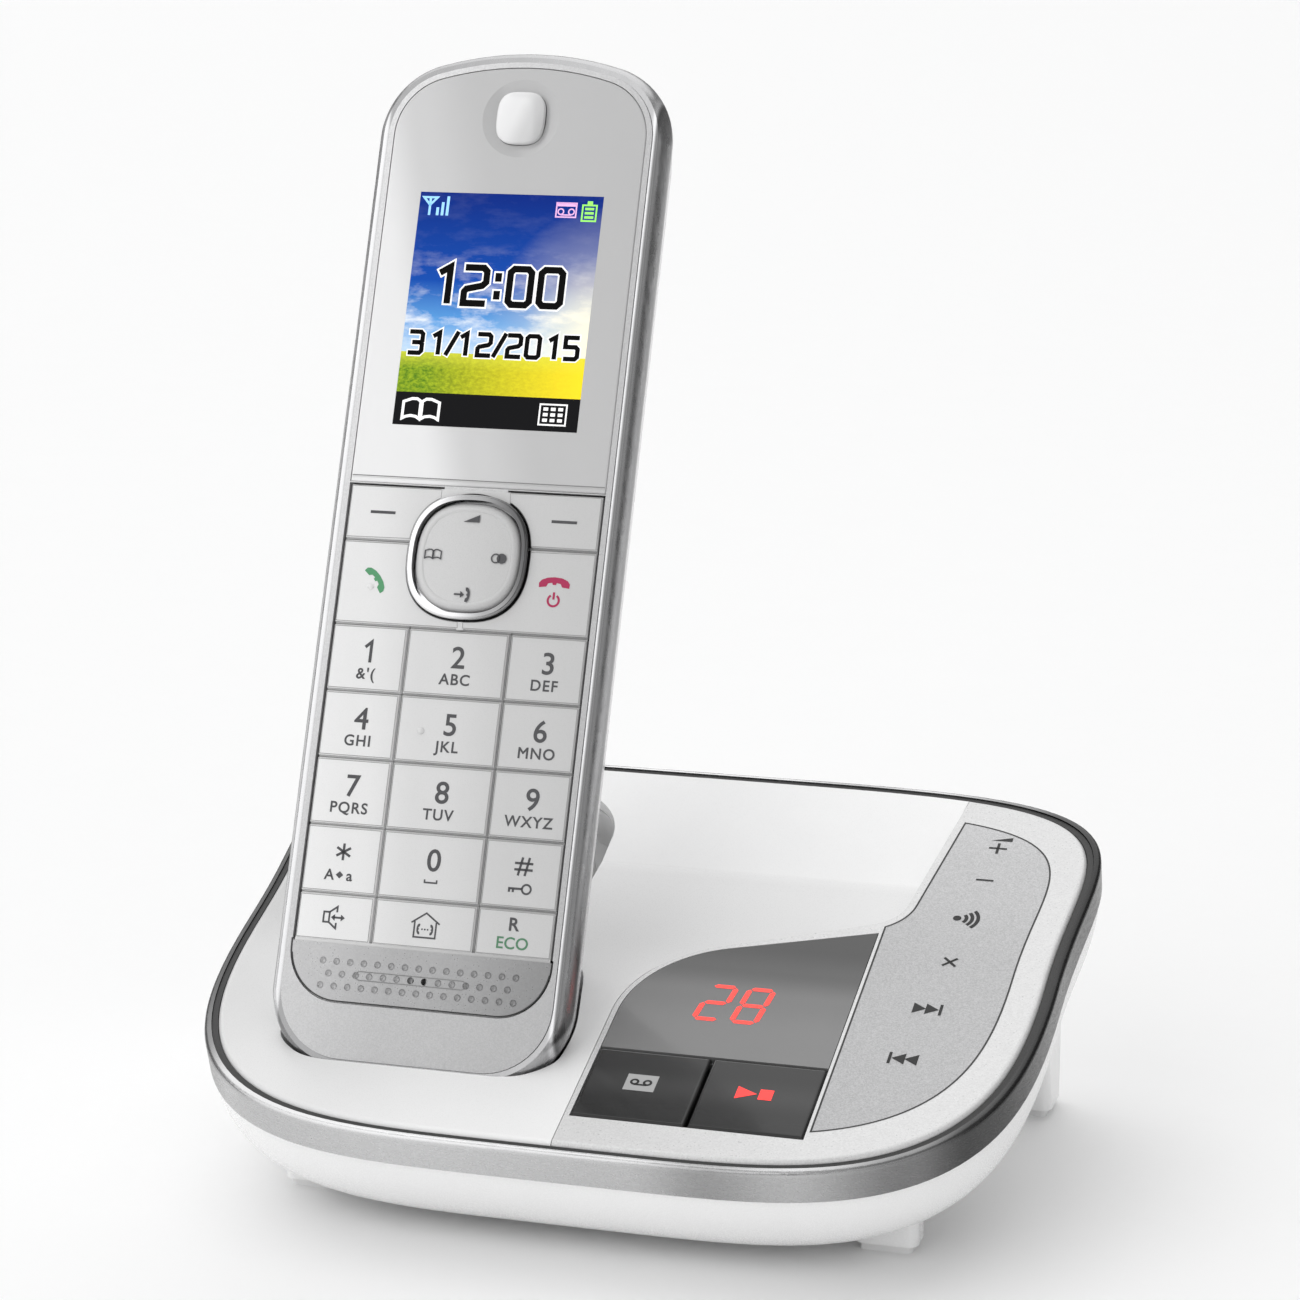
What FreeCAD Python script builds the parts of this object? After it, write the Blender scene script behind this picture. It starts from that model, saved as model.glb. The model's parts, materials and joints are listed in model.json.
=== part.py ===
import FreeCAD, Part
import math
import os

"""A cordless telephone handset standing in its answering-machine base.

Three frames are used, all in millimetres:
- the part frame: Z up, the desk at Z = 0, X to the right, Y to the back;
- the deck frame: the base's top plane, tilted so that its front is low (x, y, h above the deck);
- the handset frame: u across, v up the face, w out of the face, with the display's centre at 0, 0, 0.
"""

V = FreeCAD.Vector
X_AXIS = V(1, 0, 0)

# ---------------------------------------------------------------- base, driving dimensions
deck_half_width = 59.7
deck_half_depth = 45.8
deck_power = 4.55  # exponent of the deck's rounded-rectangle formula
deck_taper = 0.135  # how much wider the back is than the front
deck_tilt = 18.4
deck_height = 32.8  # height of the deck's centre above the desk
deck_center_y = -1.2

plate_thickness = 2.2
plate_edge_round = 0.8
plate_inset = 0.45  # the top plates stop this far inside the deck line
band_gap = 0.45  # the trim band starts this far outside it
band_thickness = 1.0
band_height = 5.0
band_drop = 0.25  # the band's top edge is this far below the deck
seal_depth = 0.45
seal_height = 1.1
seat_gap = 0.1

tub_depth = 16.8  # from the band's lower edge to the tub's floor
tub_flare = 22.0  # how far in the belly curves
tub_power = 2.4
tub_wall = 2.0
collar_wall = 1.6

crease_y = 22.5
crease_depth = 1.6
dish_front = -9.0
dish_left = -54.0
dish_ramp = 12.0

# ---------------------------------------------------------------- control panel on the base
seam_left = 0.0
seam_radius = 18.6
seam_arc_y = -15.4
seam_slope = 22.5
seam_back_point = (37.2, 23.4)
seam_back_slope = 82.6
seam_inner_radius = 7.0
seam_gap = 0.12

lens_left = 0.9
lens_right = 33.4
lens_radius = 17.7
lens_slope = 18.5
lens_front = -23.9
lens_thickness = 1.2
lens_ledge = 1.0
window_gap = 0.12

base_key_front = -39.1
base_key_split = 17.1
base_key_gap = 0.4
base_key_height = 6.0
base_key_proud = 0.15
base_key_travel = 0.6

membrane_side_inset = 5.2
membrane_end_inset = 6.4
membrane_thickness = 0.3
membrane_left = lens_right + 0.7
membrane_seam_offset = 1.3
plunger_radius = 2.6
plunger_height = 6.0
plunger_travel = 0.3
plunger_gap = 0.3
plunger_column = 45.2
volume_rocker_y = 28.3
volume_rocker_length = 16.0
locator_y = 13.6
erase_y = 2.9
forward_y = -8.4
back_y = -20.0

# ---------------------------------------------------------------- inside and under the base
board_thickness = 1.2
board_level = -8.0
board_left = 2.5
board_right = 49.0
board_front = -35.0
board_back = 33.0
digits_size = (16.0, 13.0, 4.4)
digits_center = (17.0, -11.2)
speaker_radius = 15.0
speaker_height = 6.5
speaker_center = (24.0, 2.0)
speaker_level = -19.6
grille_slots = 7
grille_slot_width = 1.6
grille_pitch = 3.6
socket_face_y = 40.8
socket_length = 11.0
socket_level = -13.4
line_socket_x = 10.0
line_socket_size = (12.0, 8.4)
line_plug_size = (9.8, 6.8)
dc_socket_x = 29.0
dc_socket_size = (9.0, 8.4)
dc_bore_radius = 2.9
dc_pin_radius = 0.9
socket_clearance = 0.3

foot_pad_height = 1.2
front_foot_center = (42.0, -22.5)
front_foot_size = (9.0, 6.0)
rear_leg_center = (50.5, 36.5)
rear_leg_size = (9.0, 9.0)
leg_spread = 16.0  # how much longer a rear leg is at the deck than at its pad
leg_round = 1.6
pad_margin = 0.8
screw_radius = 1.4
screw_head_radius = 2.6
screw_length = 5.0
screw_head = 1.6
screw_gap = 0.15
screw_sink = 0.2
screw_spots = ((-25.0, -21.0), (25.0, -21.0), (-28.0, 20.0), (30.0, 20.5))

# ---------------------------------------------------------------- handset, driving dimensions
handset_lean = 22.9
handset_x = -25.0
handset_y = 10.7
handset_z = 123.0
half_width = 22.3
top_v = 39.7
bottom_v = -111.2
crown_radius = 48.0
top_round = 12.0
bottom_round = 12.0
least_round = 0.8
body_depth = 22.0
rail_depth = 3.5  # depth of the widest line
rail_bulge = 2.1
rail_front = 0.25
rail_back = 6.0
back_draft = 0.27
back_round = 6.0
shell_wall = 1.4
border = 0.9
part_gap = 0.05
face_thickness = 2.0

window_bottom = -26.2
window_thickness = 1.2
window_edge_round = 0.25
lcd_half = (16.5, 21.0)
lcd_thickness = 1.7
ear_v = 29.0
ear_dish_half = 5.9
ear_dish_depth = 0.8
ear_cap_half = (3.6, 3.9)
ear_cap_height = 0.9
receiver_radius = 6.0
receiver_height = 3.0

key_area_half = half_width - rail_bulge - border - 0.1
key_column = 7.65
key_top = -26.45
soft_row = 8.25
call_row = 12.4
digit_pitch = 9.7
last_row = 6.85
key_gap = 0.4
key_thickness = 2.0
key_round = 0.3
key_travel = 0.5
mat_gap = 0.3
mat_thickness = 0.6
ring_v = -36.5
ring_half = (9.0, 9.1)
ring_width = 0.85
ring_proud = 0.9
ring_power = 2.5
ring_floor = 0.8
pad_gap = 0.3
pad_proud = 0.55
pad_thickness = 1.5
bridge_half = 4.8

mic_bottom = -101.0
mic_plate_thickness = 0.8
mic_plate_round = 7.4
mic_gap = 0.3
dimple_pitch = 2.05
dimple_radius = 0.5
dimple_depth = 0.3
dimple_row_pitch = 1.75
dimple_v = -97.2
microphone_radius = 2.0
microphone_height = 1.8

handset_board_gap = 0.3
handset_board_thickness = 1.0
handset_board_top = 20.0
handset_board_bottom = -92.0
cell_radius = 5.25
cell_length = 44.5
cell_spacing = 5.6
cell_top = -30.5
cover_half = 13.6
cover_margin = 2.5
cover_gap = 0.2
ringer_radius = 8.5
ringer_height = 3.5
ringer_v = 4.0
contact_u = 8.0
contact_half = 2.0
contact_levels = (-14.0, -9.5)
contact_gap = 0.1
spring_half_width = 1.2
spring_thickness = 0.8
spring_clearance = 0.15
spring_lift = 1.2
spring_foot = 1.0
spring_reach = 6.0

# ---------------------------------------------------------------- pocket for the handset
pocket_gap = 0.4
liner_wall = 1.5
liner_top = -2.5  # the liner stops this far below the deck, under the cover
scoop_half = 12.4
scoop_back = 40.0
scoop_front = -6.0
scoop_depth = 9.0
rest_inset = 3.6
rest_top = -1.6

outline_points = 64
outline_spread = 0.22  # draws the points toward the flat sides
HEADROOM = 12.0  # height of cutting tools above what they cut
FAR = 90.0  # half-size of tools that must pass every edge


# ---------------------------------------------------------------- placing
def on_deck(shape):
    """Move a shape from the deck frame to the part frame."""
    shape.rotate(V(0, 0, 0), X_AXIS, deck_tilt)
    shape.translate(V(0, deck_center_y, deck_height))
    return shape


def on_handset(shape):
    """Move a shape from the handset frame to the part frame."""
    shape.rotate(V(0, 0, 0), X_AXIS, 90.0 - handset_lean)
    shape.translate(V(handset_x, handset_y, handset_z))
    return shape


def handset_to_deck(shape):
    """Move a shape from the handset frame to the deck frame."""
    on_handset(shape)
    shape.translate(V(0, -deck_center_y, -deck_height))
    shape.rotate(V(0, 0, 0), X_AXIS, -deck_tilt)
    return shape


def save(name, shape):
    """Write one node's STEP file."""
    shape.exportStep("parts/" + name + ".step")


# ---------------------------------------------------------------- outlines and solids
def box(x0, x1, y0, y1, z0, z1):
    """A box between two corners."""
    return Part.makeBox(x1 - x0, y1 - y0, z1 - z0, V(x0, y0, z0))


def rounded_box(x0, x1, y0, y1, z0, z1, radius):
    """A box whose upright edges are rounded."""
    solid = box(x0, x1, y0, y1, z0, z1)
    upright = [e for e in solid.Edges if abs(e.tangentAt(e.FirstParameter).z) > 0.99]
    return solid.makeFillet(radius, upright)


def squircle(half_x, half_y, center_x, center_y, level, power=ring_power):
    """A closed curve between an ellipse and a rectangle."""
    points = []
    for i in range(outline_points // 2):
        a = 4.0 * math.pi * i / outline_points
        c, s = math.cos(a), math.sin(a)
        x = center_x + half_x * math.copysign(abs(c) ** (2.0 / power), c)
        y = center_y + half_y * math.copysign(abs(s) ** (2.0 / power), s)
        points.append(V(x, y, level))
    curve = Part.BSplineCurve()
    curve.interpolate(points, PeriodicFlag=True)
    return Part.Wire([curve.toShape()])


def deck_outline(inset, level, end_inset=None):
    """The base's outline: a rounded rectangle that is wider at the back."""
    half_x = deck_half_width - inset
    half_y = deck_half_depth - (inset if end_inset is None else end_inset)
    points = []
    for i in range(outline_points):
        t = 2.0 * math.pi * i / outline_points
        a = t - outline_spread * math.sin(4.0 * t)
        c, s = math.cos(a), math.sin(a)
        x = half_x * math.copysign(abs(c) ** (2.0 / deck_power), c) * (1.0 + deck_taper * s)
        y = half_y * math.copysign(abs(s) ** (2.0 / deck_power), s)
        points.append(V(x, y, level))
    curve = Part.BSplineCurve()
    curve.interpolate(points, PeriodicFlag=True)
    return Part.Wire([curve.toShape()])


def prism(wire, height):
    """A solid straight up from a closed flat wire."""
    return Part.Face(wire).extrude(V(0, 0, height))


def deck_prism(inset, low, high, end_inset=None):
    return prism(deck_outline(inset, low, end_inset), high - low)


def line(a, b):
    return Part.LineSegment(a, b).toShape()


def arc(a, middle, b):
    return Part.Arc(a, middle, b).toShape()


def on_circle(center, radius, degrees, level):
    a = math.radians(degrees)
    return V(center[0] + radius * math.cos(a), center[1] + radius * math.sin(a), level)


def body_outline(inset, level, bottom=bottom_v, top=top_v):
    """The handset's outline seen on its face: straight sides, round corners, crowned top."""
    half = half_width - inset
    low = bottom + inset
    high = top - inset
    r_low = max(least_round, bottom_round - inset)
    r_top = max(least_round, top_round - inset)
    r_crown = crown_radius - inset
    crown_v = high - r_crown
    corner_v = crown_v + math.sqrt((r_crown - r_top) ** 2 - (half - r_top) ** 2)
    lean = math.degrees(math.atan2(corner_v - crown_v, half - r_top))
    right = (half - r_top, corner_v)
    left = (-half + r_top, corner_v)
    low_right = (half - r_low, low + r_low)
    low_left = (-half + r_low, low + r_low)
    crown = (0.0, crown_v)
    p = [
        V(-half + r_low, low, level),
        V(half - r_low, low, level),
        V(half, low + r_low, level),
        V(half, corner_v, level),
        on_circle(crown, r_crown, lean, level),
        on_circle(crown, r_crown, 180.0 - lean, level),
        V(-half, corner_v, level),
        V(-half, low + r_low, level),
    ]
    edges = [
        line(p[0], p[1]),
        arc(p[1], on_circle(low_right, r_low, -45.0, level), p[2]),
        line(p[2], p[3]),
        arc(p[3], on_circle(right, r_top, lean / 2.0, level), p[4]),
        arc(p[4], V(0, high, level), p[5]),
        arc(p[5], on_circle(left, r_top, 180.0 - lean / 2.0, level), p[6]),
        line(p[6], p[7]),
        arc(p[7], on_circle(low_left, r_low, 225.0, level), p[0]),
    ]
    return Part.Wire(edges)


def body_inset(depth):
    """How far the handset's side has come in at a depth behind its face."""
    if depth <= rail_depth:
        share = (rail_depth - depth) / rail_depth
        return rail_bulge * (1.0 - math.sqrt(1.0 - share * share))
    behind = depth - rail_depth
    corner = behind - (body_depth - rail_depth - back_round)
    inset = back_draft * behind
    if corner > 0.0:
        share = min(1.0, corner / back_round)
        inset += back_round * (1.0 - math.sqrt(1.0 - share * share))
    return inset


def body_stack(depths, shrink=0.0, top=top_v):
    """A smooth solid through the handset's sections at these depths, made smaller by shrink."""
    sections = [body_outline(body_inset(d) + shrink, -d, top=top) for d in depths]
    return Part.makeLoft(sections, True, False)


RAIL_DEPTHS = (rail_front, 1.0, 2.0, rail_depth, 4.8, rail_back)
BACK_SHARES = (0.06, 0.16, 0.28, 0.44, 0.60, 0.72, 0.84, 0.925, 0.975, 1.0)
back_rise = body_depth - rail_back
BACK_DEPTHS = (rail_back + part_gap,) + tuple(rail_back + back_rise * share for share in BACK_SHARES)


# ---------------------------------------------------------------- handset parts
def face_plate_outline(extra, level):
    """The flat face inside the side rail, made smaller by extra."""
    return body_outline(rail_bulge + extra, level)


def key_bottom():
    return key_top - soft_row - call_row - 4 * digit_pitch - last_row


def upper_window(grow, low, high):
    """The region of the glossy plate over the display, from level low to high."""
    plate = prism(face_plate_outline(border - grow, low), high - low)
    return plate.common(box(-FAR, FAR, window_bottom - grow, FAR, low, high))


def mic_plate(grow, low, high):
    """The rounded plate below the keys that holds the microphone's dimples."""
    half = key_area_half + grow
    solid = box(-half, half, mic_bottom - grow, key_bottom() - key_gap / 2.0 + grow, low, high)
    corners = [
        e
        for e in solid.Edges
        if abs(e.tangentAt(e.FirstParameter).z) > 0.99 and e.CenterOfMass.y < dimple_v
    ]
    return solid.makeFillet(mic_plate_round + grow, corners)


def ring_cut(grow):
    """The hole that the navigation ring needs in the parts around it."""
    low = -key_thickness - HEADROOM
    wire = squircle(ring_half[0] + grow, ring_half[1] + grow, 0.0, ring_v, low)
    return prism(wire, 2.0 * HEADROOM)


def front_shell():
    plate = prism(face_plate_outline(part_gap, -face_thickness), face_thickness)
    skirt = prism(face_plate_outline(part_gap, -rail_back), rail_back - face_thickness)
    skirt = skirt.cut(prism(face_plate_outline(border, -rail_back), rail_back - face_thickness))
    shell = plate.fuse(skirt)
    shell = shell.cut(upper_window(part_gap, -window_thickness, 1.0))
    lcd_u, lcd_v = lcd_half
    ledge = part_gap + seat_gap
    shell = shell.cut(box(-lcd_u - ledge, lcd_u + ledge, -lcd_v - ledge, lcd_v + ledge, -HEADROOM, 0))
    shell = shell.cut(Part.makeCylinder(receiver_radius - 1.5, HEADROOM, V(0, ear_v, -HEADROOM)))
    half = key_area_half + part_gap + seat_gap
    low = key_bottom() - key_gap / 2.0
    opening = box(-half, half, low, key_top + part_gap, -HEADROOM, 1.0)
    bridge = box(-bridge_half, bridge_half, ring_v, key_top + 1.0, -face_thickness, 0.0)
    bridge = bridge.cut(ring_cut(pad_gap))
    shell = shell.cut(opening.cut(bridge))
    shell = shell.cut(mic_plate(mic_gap, -mic_plate_thickness, 1.0))
    shell = shell.cut(Part.makeCylinder(1.0, HEADROOM, V(0, dimple_v, -HEADROOM)))
    return shell


def side_rail():
    rail = body_stack(RAIL_DEPTHS)
    return rail.cut(prism(face_plate_outline(0.0, -body_depth), body_depth))


def display_window():
    plate = upper_window(0.0, -window_thickness, 0.0)
    rim = [e for e in plate.Edges if abs(e.CenterOfMass.z) < 0.01]
    plate = plate.makeFillet(window_edge_round, rim)
    dish_radius = (ear_dish_half**2 + ear_dish_depth**2) / (2.0 * ear_dish_depth)
    dish = Part.makeSphere(dish_radius, V(0, ear_v, dish_radius - ear_dish_depth))
    plate = plate.cut(dish)
    hole = squircle(ear_cap_half[0] + seat_gap, ear_cap_half[1] + seat_gap, 0.0, ear_v, -HEADROOM, 3.0)
    return plate.cut(prism(hole, 2.0 * HEADROOM))


def ear_cap():
    sections = []
    for k in range(6):
        share = k / 5.0
        level = -window_thickness + (ear_cap_height + window_thickness) * share
        inset = 0.75 * ear_cap_half[0] * (1.0 - math.sqrt(1.0 - share**4))
        half_x = ear_cap_half[0] - inset
        half_y = ear_cap_half[1] - inset
        sections.append(squircle(half_x, half_y, 0.0, ear_v, level, 3.0))
    return Part.makeLoft(sections, True, False)


def lcd_panel():
    lcd_u, lcd_v = lcd_half
    top = -window_thickness - part_gap
    return box(-lcd_u, lcd_u, -lcd_v, lcd_v, top - lcd_thickness, top)


def key_cells():
    """Name and region of every key on the handset: u0, u1, v0, v1."""
    outer, column = key_area_half, key_column
    v = key_top
    cells = {
        "soft_key_left": (-outer, -bridge_half, v - soft_row, v),
        "soft_key_right": (bridge_half, outer, v - soft_row, v),
    }
    v -= soft_row
    cells["talk_key"] = (-outer, 0.0, v - call_row, v)
    cells["end_key"] = (0.0, outer, v - call_row, v)
    v -= call_row
    columns = ((-outer, -column), (-column, column), (column, outer))
    rows = (
        ("key_1", "key_2", "key_3"),
        ("key_4", "key_5", "key_6"),
        ("key_7", "key_8", "key_9"),
        ("key_star", "key_0", "key_hash"),
        ("speaker_key", "intercom_key", "recall_key"),
    )
    for names in rows:
        height = last_row if names[0] == "speaker_key" else digit_pitch
        for name, (u0, u1) in zip(names, columns):
            cells[name] = (u0, u1, v - height, v)
        v -= height
    return cells


def handset_key(cell):
    """A key cap with softened top edges, cut back around the navigation ring."""
    u0, u1, v0, v1 = cell
    g = key_gap / 2.0
    cap = box(u0 + g, u1 - g, v0 + g, v1 - g, -key_thickness, 0.0)
    top = [e for e in cap.Edges if abs(e.CenterOfMass.z) < 0.01]
    return cap.makeFillet(key_round, top).cut(ring_cut(pad_gap))


def nav_ring():
    low = -key_thickness - mat_gap / 2.0
    outer = prism(squircle(ring_half[0], ring_half[1], 0.0, ring_v, low), ring_proud - low)
    crest = [e for e in outer.Edges if abs(e.CenterOfMass.z - ring_proud) < 0.01]
    outer = outer.makeFillet(ring_width * 0.45, crest)
    inner_low = low + ring_floor
    half_x, half_y = ring_half[0] - ring_width, ring_half[1] - ring_width
    return outer.cut(prism(squircle(half_x, half_y, 0.0, ring_v, inner_low), HEADROOM))


def nav_pad():
    half_x = ring_half[0] - ring_width - pad_gap
    half_y = ring_half[1] - ring_width - pad_gap
    low = pad_proud - pad_thickness
    sections = []
    for k in range(5):
        share = k / 4.0
        level = low + pad_thickness * share
        inset = 1.6 * (1.0 - math.sqrt(1.0 - share**6 * 0.98))
        sections.append(squircle(half_x - inset, half_y - inset, 0.0, ring_v, level))
    return Part.makeLoft(sections, True, False)


def keypad_mat():
    half = key_area_half - 0.3
    top = -key_thickness - key_travel - mat_gap
    low = key_bottom() + 0.3
    return box(-half, half, low, key_top - 0.3, top - mat_thickness, top)


def handset_board():
    mat_low = key_thickness + key_travel + mat_gap + mat_thickness
    top = -mat_low - handset_board_gap
    half = key_area_half - 0.6
    board = box(-half, half, handset_board_bottom, handset_board_top, top - handset_board_thickness, top)
    return board


def microphone_plate():
    plate = mic_plate(0.0, -mic_plate_thickness + part_gap, 0.0)
    depth = dimple_depth
    sphere_r = (dimple_radius**2 + depth**2) / (2.0 * depth)
    dimples = []
    for row, count in ((-1, 15), (0, 14), (1, 15)):
        for i in range(count):
            u = (i - (count - 1) / 2.0) * dimple_pitch
            v = dimple_v - row * dimple_row_pitch
            dimples.append(Part.makeSphere(sphere_r, V(u, v, sphere_r - depth)))
    plate = plate.cut(Part.makeCompound(dimples))
    half_pitch = dimple_pitch / 2.0
    holes = [Part.makeCylinder(dimple_radius, HEADROOM, V(s * half_pitch, dimple_v, -1.0)) for s in (-1, 1)]
    return plate.cut(Part.makeCompound(holes))


def back_solid(shrink=0.0):
    return body_stack(BACK_DEPTHS, shrink)


def battery_bay(grow):
    """The region that the battery cover fills, grown by a gap."""
    low = cell_top - cell_length - cover_margin - grow
    high = cell_top + cover_margin + grow
    return rounded_box(-cover_half - grow, cover_half + grow, low, high, -FAR, -body_depth + back_round, 2.0)


def contact_box(sign, grow):
    low, high = contact_levels
    u0, u1 = sign * contact_u - contact_half - grow, sign * contact_u + contact_half + grow
    return box(u0, u1, bottom_v - 1.0, bottom_v + 2.0 * bottom_round, low - grow, high + grow)


def back_wall():
    """The back shell's wall before its openings are cut."""
    sections = [body_outline(body_inset(rail_back) + shell_wall, -rail_back + shell_wall)]
    for depth in BACK_DEPTHS:
        inner_depth = depth - shell_wall * (depth - rail_back) / (body_depth - rail_back)
        sections.append(body_outline(body_inset(depth) + shell_wall, -inner_depth))
    inner = Part.makeLoft(sections, True, False)
    return back_solid().cut(inner)


def back_shell(wall):
    shell = wall.cut(battery_bay(cover_gap))
    slots = []
    for k in range(-2, 3):
        v = ringer_v + 2.8 * k
        slots.append(rounded_box(-6.0, 6.0, v - 0.6, v + 0.6, -FAR, -body_depth + 4.0, 0.5))
    shell = shell.cut(Part.makeCompound(slots))
    for sign in (-1, 1):
        shell = shell.cut(contact_box(sign, contact_gap))
    return shell


def battery_cover(wall):
    cover = wall.common(battery_bay(0.0))
    grip = Part.makeCylinder(9.0, 14.0, V(-7.0, cell_top - 6.0, -body_depth - 8.6), X_AXIS)
    return cover.cut(grip)


def largest(shape):
    """The biggest solid of a shape."""
    return max(shape.Solids, key=lambda s: s.Volume)


def handset_contacts(wall):
    return Part.makeCompound([largest(wall.common(contact_box(s, 0.0))) for s in (-1, 1)])


def battery_cells():
    level = -body_depth + shell_wall + cell_radius + 0.4
    cells = []
    for sign in (-1, 1):
        base = V(sign * cell_spacing, cell_top - cell_length, level)
        can = Part.makeCylinder(cell_radius, cell_length - 1.0, base, V(0, 1, 0))
        nub = Part.makeCylinder(1.9, 1.0, base + V(0, cell_length - 1.0, 0), V(0, 1, 0))
        cells.append(can.fuse(nub))
    return Part.makeCompound(cells)


def battery_springs():
    """One flat contact at each end of each cell."""
    level = -body_depth + shell_wall + cell_radius + 0.4
    plates = []
    for sign in (-1, 1):
        for v in (cell_top + 0.1, cell_top - cell_length - 0.6):
            u = sign * cell_spacing
            plates.append(box(u - 3.5, u + 3.5, v, v + 0.5, level - 3.5, level + 3.5))
    return Part.makeCompound(plates)


# ---------------------------------------------------------------- pocket
def pocket_void():
    """Where the handset's lower end goes, open along v and clear of it all round."""
    sections = []
    front = [(pocket_gap, rail_bulge - pocket_gap)]
    middle = [(-d, body_inset(d) - pocket_gap) for d in (1.0, 2.0, rail_depth, 5.0) + BACK_DEPTHS[1:6]]
    back = [(-d - pocket_gap, body_inset(d) - pocket_gap) for d in BACK_DEPTHS[6:]]
    for level, inset in front + middle + back:
        sections.append(body_outline(inset, level))
    return Part.makeLoft(sections, True, False)


def liner_block():
    """The outside of the pocket's liner in the handset frame."""
    half = half_width + pocket_gap + liner_wall
    low = bottom_v - pocket_gap - liner_wall
    depth = body_depth + pocket_gap + liner_wall
    solid = box(-half, half, low, -40.0, -depth, pocket_gap + liner_wall)
    lower = [
        e
        for e in solid.Edges
        if abs(e.tangentAt(e.FirstParameter).z) > 0.99 and e.CenterOfMass.y < low + 1.0
    ]
    return solid.makeFillet(bottom_round - 1.0, lower)


def scoop_wire(inset, level):
    """The opening behind the handset: straight sides and an elliptical back end."""
    half = scoop_half - inset
    middle_y = scoop_back - scoop_half
    back_y_local = scoop_back - inset
    left, right = handset_x - half, handset_x + half
    bend = 0.7071
    mid_left = V(handset_x - half * bend, middle_y + (back_y_local - middle_y) * bend, level)
    mid_right = V(handset_x + half * bend, middle_y + (back_y_local - middle_y) * bend, level)
    tip = V(handset_x, back_y_local, level)
    curve = Part.BSplineCurve()
    curve.interpolate([V(right, middle_y, level), mid_right, tip, mid_left, V(left, middle_y, level)])
    edges = [
        line(V(left, scoop_front, level), V(right, scoop_front, level)),
        line(V(right, scoop_front, level), V(right, middle_y, level)),
        curve.toShape(),
        line(V(left, middle_y, level), V(left, scoop_front, level)),
    ]
    return Part.Wire(edges)


def cradle_liner(void):
    """The pocket's inner wall, with the scoop behind it and the rest that backs the handset."""
    block = handset_to_deck(liner_block())
    slab = box(-FAR, FAR, -FAR, FAR, -FAR, liner_top)
    block = block.common(slab)
    scoop = prism(scoop_wire(-liner_wall, -scoop_depth - liner_wall), scoop_depth + liner_wall + liner_top)
    hollow = prism(scoop_wire(-0.05, -scoop_depth), scoop_depth + 1.0)
    rest = prism(scoop_wire(rest_inset, -scoop_depth - 0.5), scoop_depth + 0.5 + rest_top)
    liner = block.fuse(scoop)
    liner = liner.cut(hollow)
    liner = liner.fuse(rest)
    liner = liner.cut(void)
    slots = [handset_to_deck(spring_arm(sign, spring_clearance)) for sign in (-1, 1)]
    return largest(liner.cut(Part.makeCompound(slots)))


def spring_arm(sign, grow):
    """One spring's strip before its end is bent clear of the handset."""
    u, foot_v = sign * contact_u, bottom_v - pocket_gap - liner_wall
    half, low = spring_half_width + grow, contact_levels[0] + spring_lift
    near, far = foot_v - spring_foot, bottom_v + spring_reach
    return box(u - half, u + half, near, far, low - grow, low + spring_thickness + grow)


def charge_springs(keep_clear):
    """Two bent contacts that stand through the pocket's floor under the handset's contacts."""
    springs = []
    for sign in (-1, 1):
        arm = spring_arm(sign, 0.0)
        arm = arm.cut(keep_clear)
        arm = min(arm.Solids, key=lambda s: s.CenterOfMass.y)
        springs.append(arm)
    return Part.makeCompound(springs)


# ---------------------------------------------------------------- base parts
def seam_edges(offset, level):
    """The line between cover and control panel, moved toward the panel by offset."""
    center = (seam_left + seam_radius, seam_arc_y)
    radius = seam_radius - offset
    a, b = math.radians(seam_slope), math.radians(seam_back_slope)
    run_a = V(math.cos(a), math.sin(a), 0)
    run_b = V(math.cos(b), math.sin(b), 0)
    arc_start = V(seam_left + offset, seam_arc_y, level)
    arc_end = on_circle(center, radius, 90.0 + seam_slope, level)
    arc_middle = on_circle(center, radius, 135.0 + seam_slope / 2.0, level)
    through_b = V(seam_back_point[0] + offset * math.sin(b), seam_back_point[1] - offset * math.cos(b), level)
    gap = through_b - arc_end
    cross = run_a.x * run_b.y - run_a.y * run_b.x
    along = (gap.x * run_b.y - gap.y * run_b.x) / cross
    corner = arc_end + run_a * along
    r = seam_inner_radius + offset
    tangent = r * math.tan((b - a) / 2.0)
    turn_start = corner - run_a * tangent
    turn_end = corner + run_b * tangent
    turn_center = turn_start + V(-math.sin(a), math.cos(a), 0) * r
    turn_degrees = (seam_slope + seam_back_slope) / 2.0 - 90.0
    turn_middle = on_circle((turn_center.x, turn_center.y), r, turn_degrees, level)
    front = V(seam_left + offset, -FAR, level)
    back = turn_end + run_b * FAR
    edges = [
        line(front, arc_start),
        arc(arc_start, arc_middle, arc_end),
        line(arc_end, turn_start),
        arc(turn_start, turn_middle, turn_end),
        line(turn_end, back),
    ]
    return edges, front, back


def panel_side(offset, low, high):
    """Everything on the control panel's side of the seam."""
    edges, front, back = seam_edges(offset, low)
    far_back = V(2.0 * FAR, back.y, low)
    far_front = V(2.0 * FAR, front.y, low)
    edges += [line(back, far_back), line(far_back, far_front), line(far_front, front)]
    return prism(Part.Wire(edges), high - low)


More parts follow.
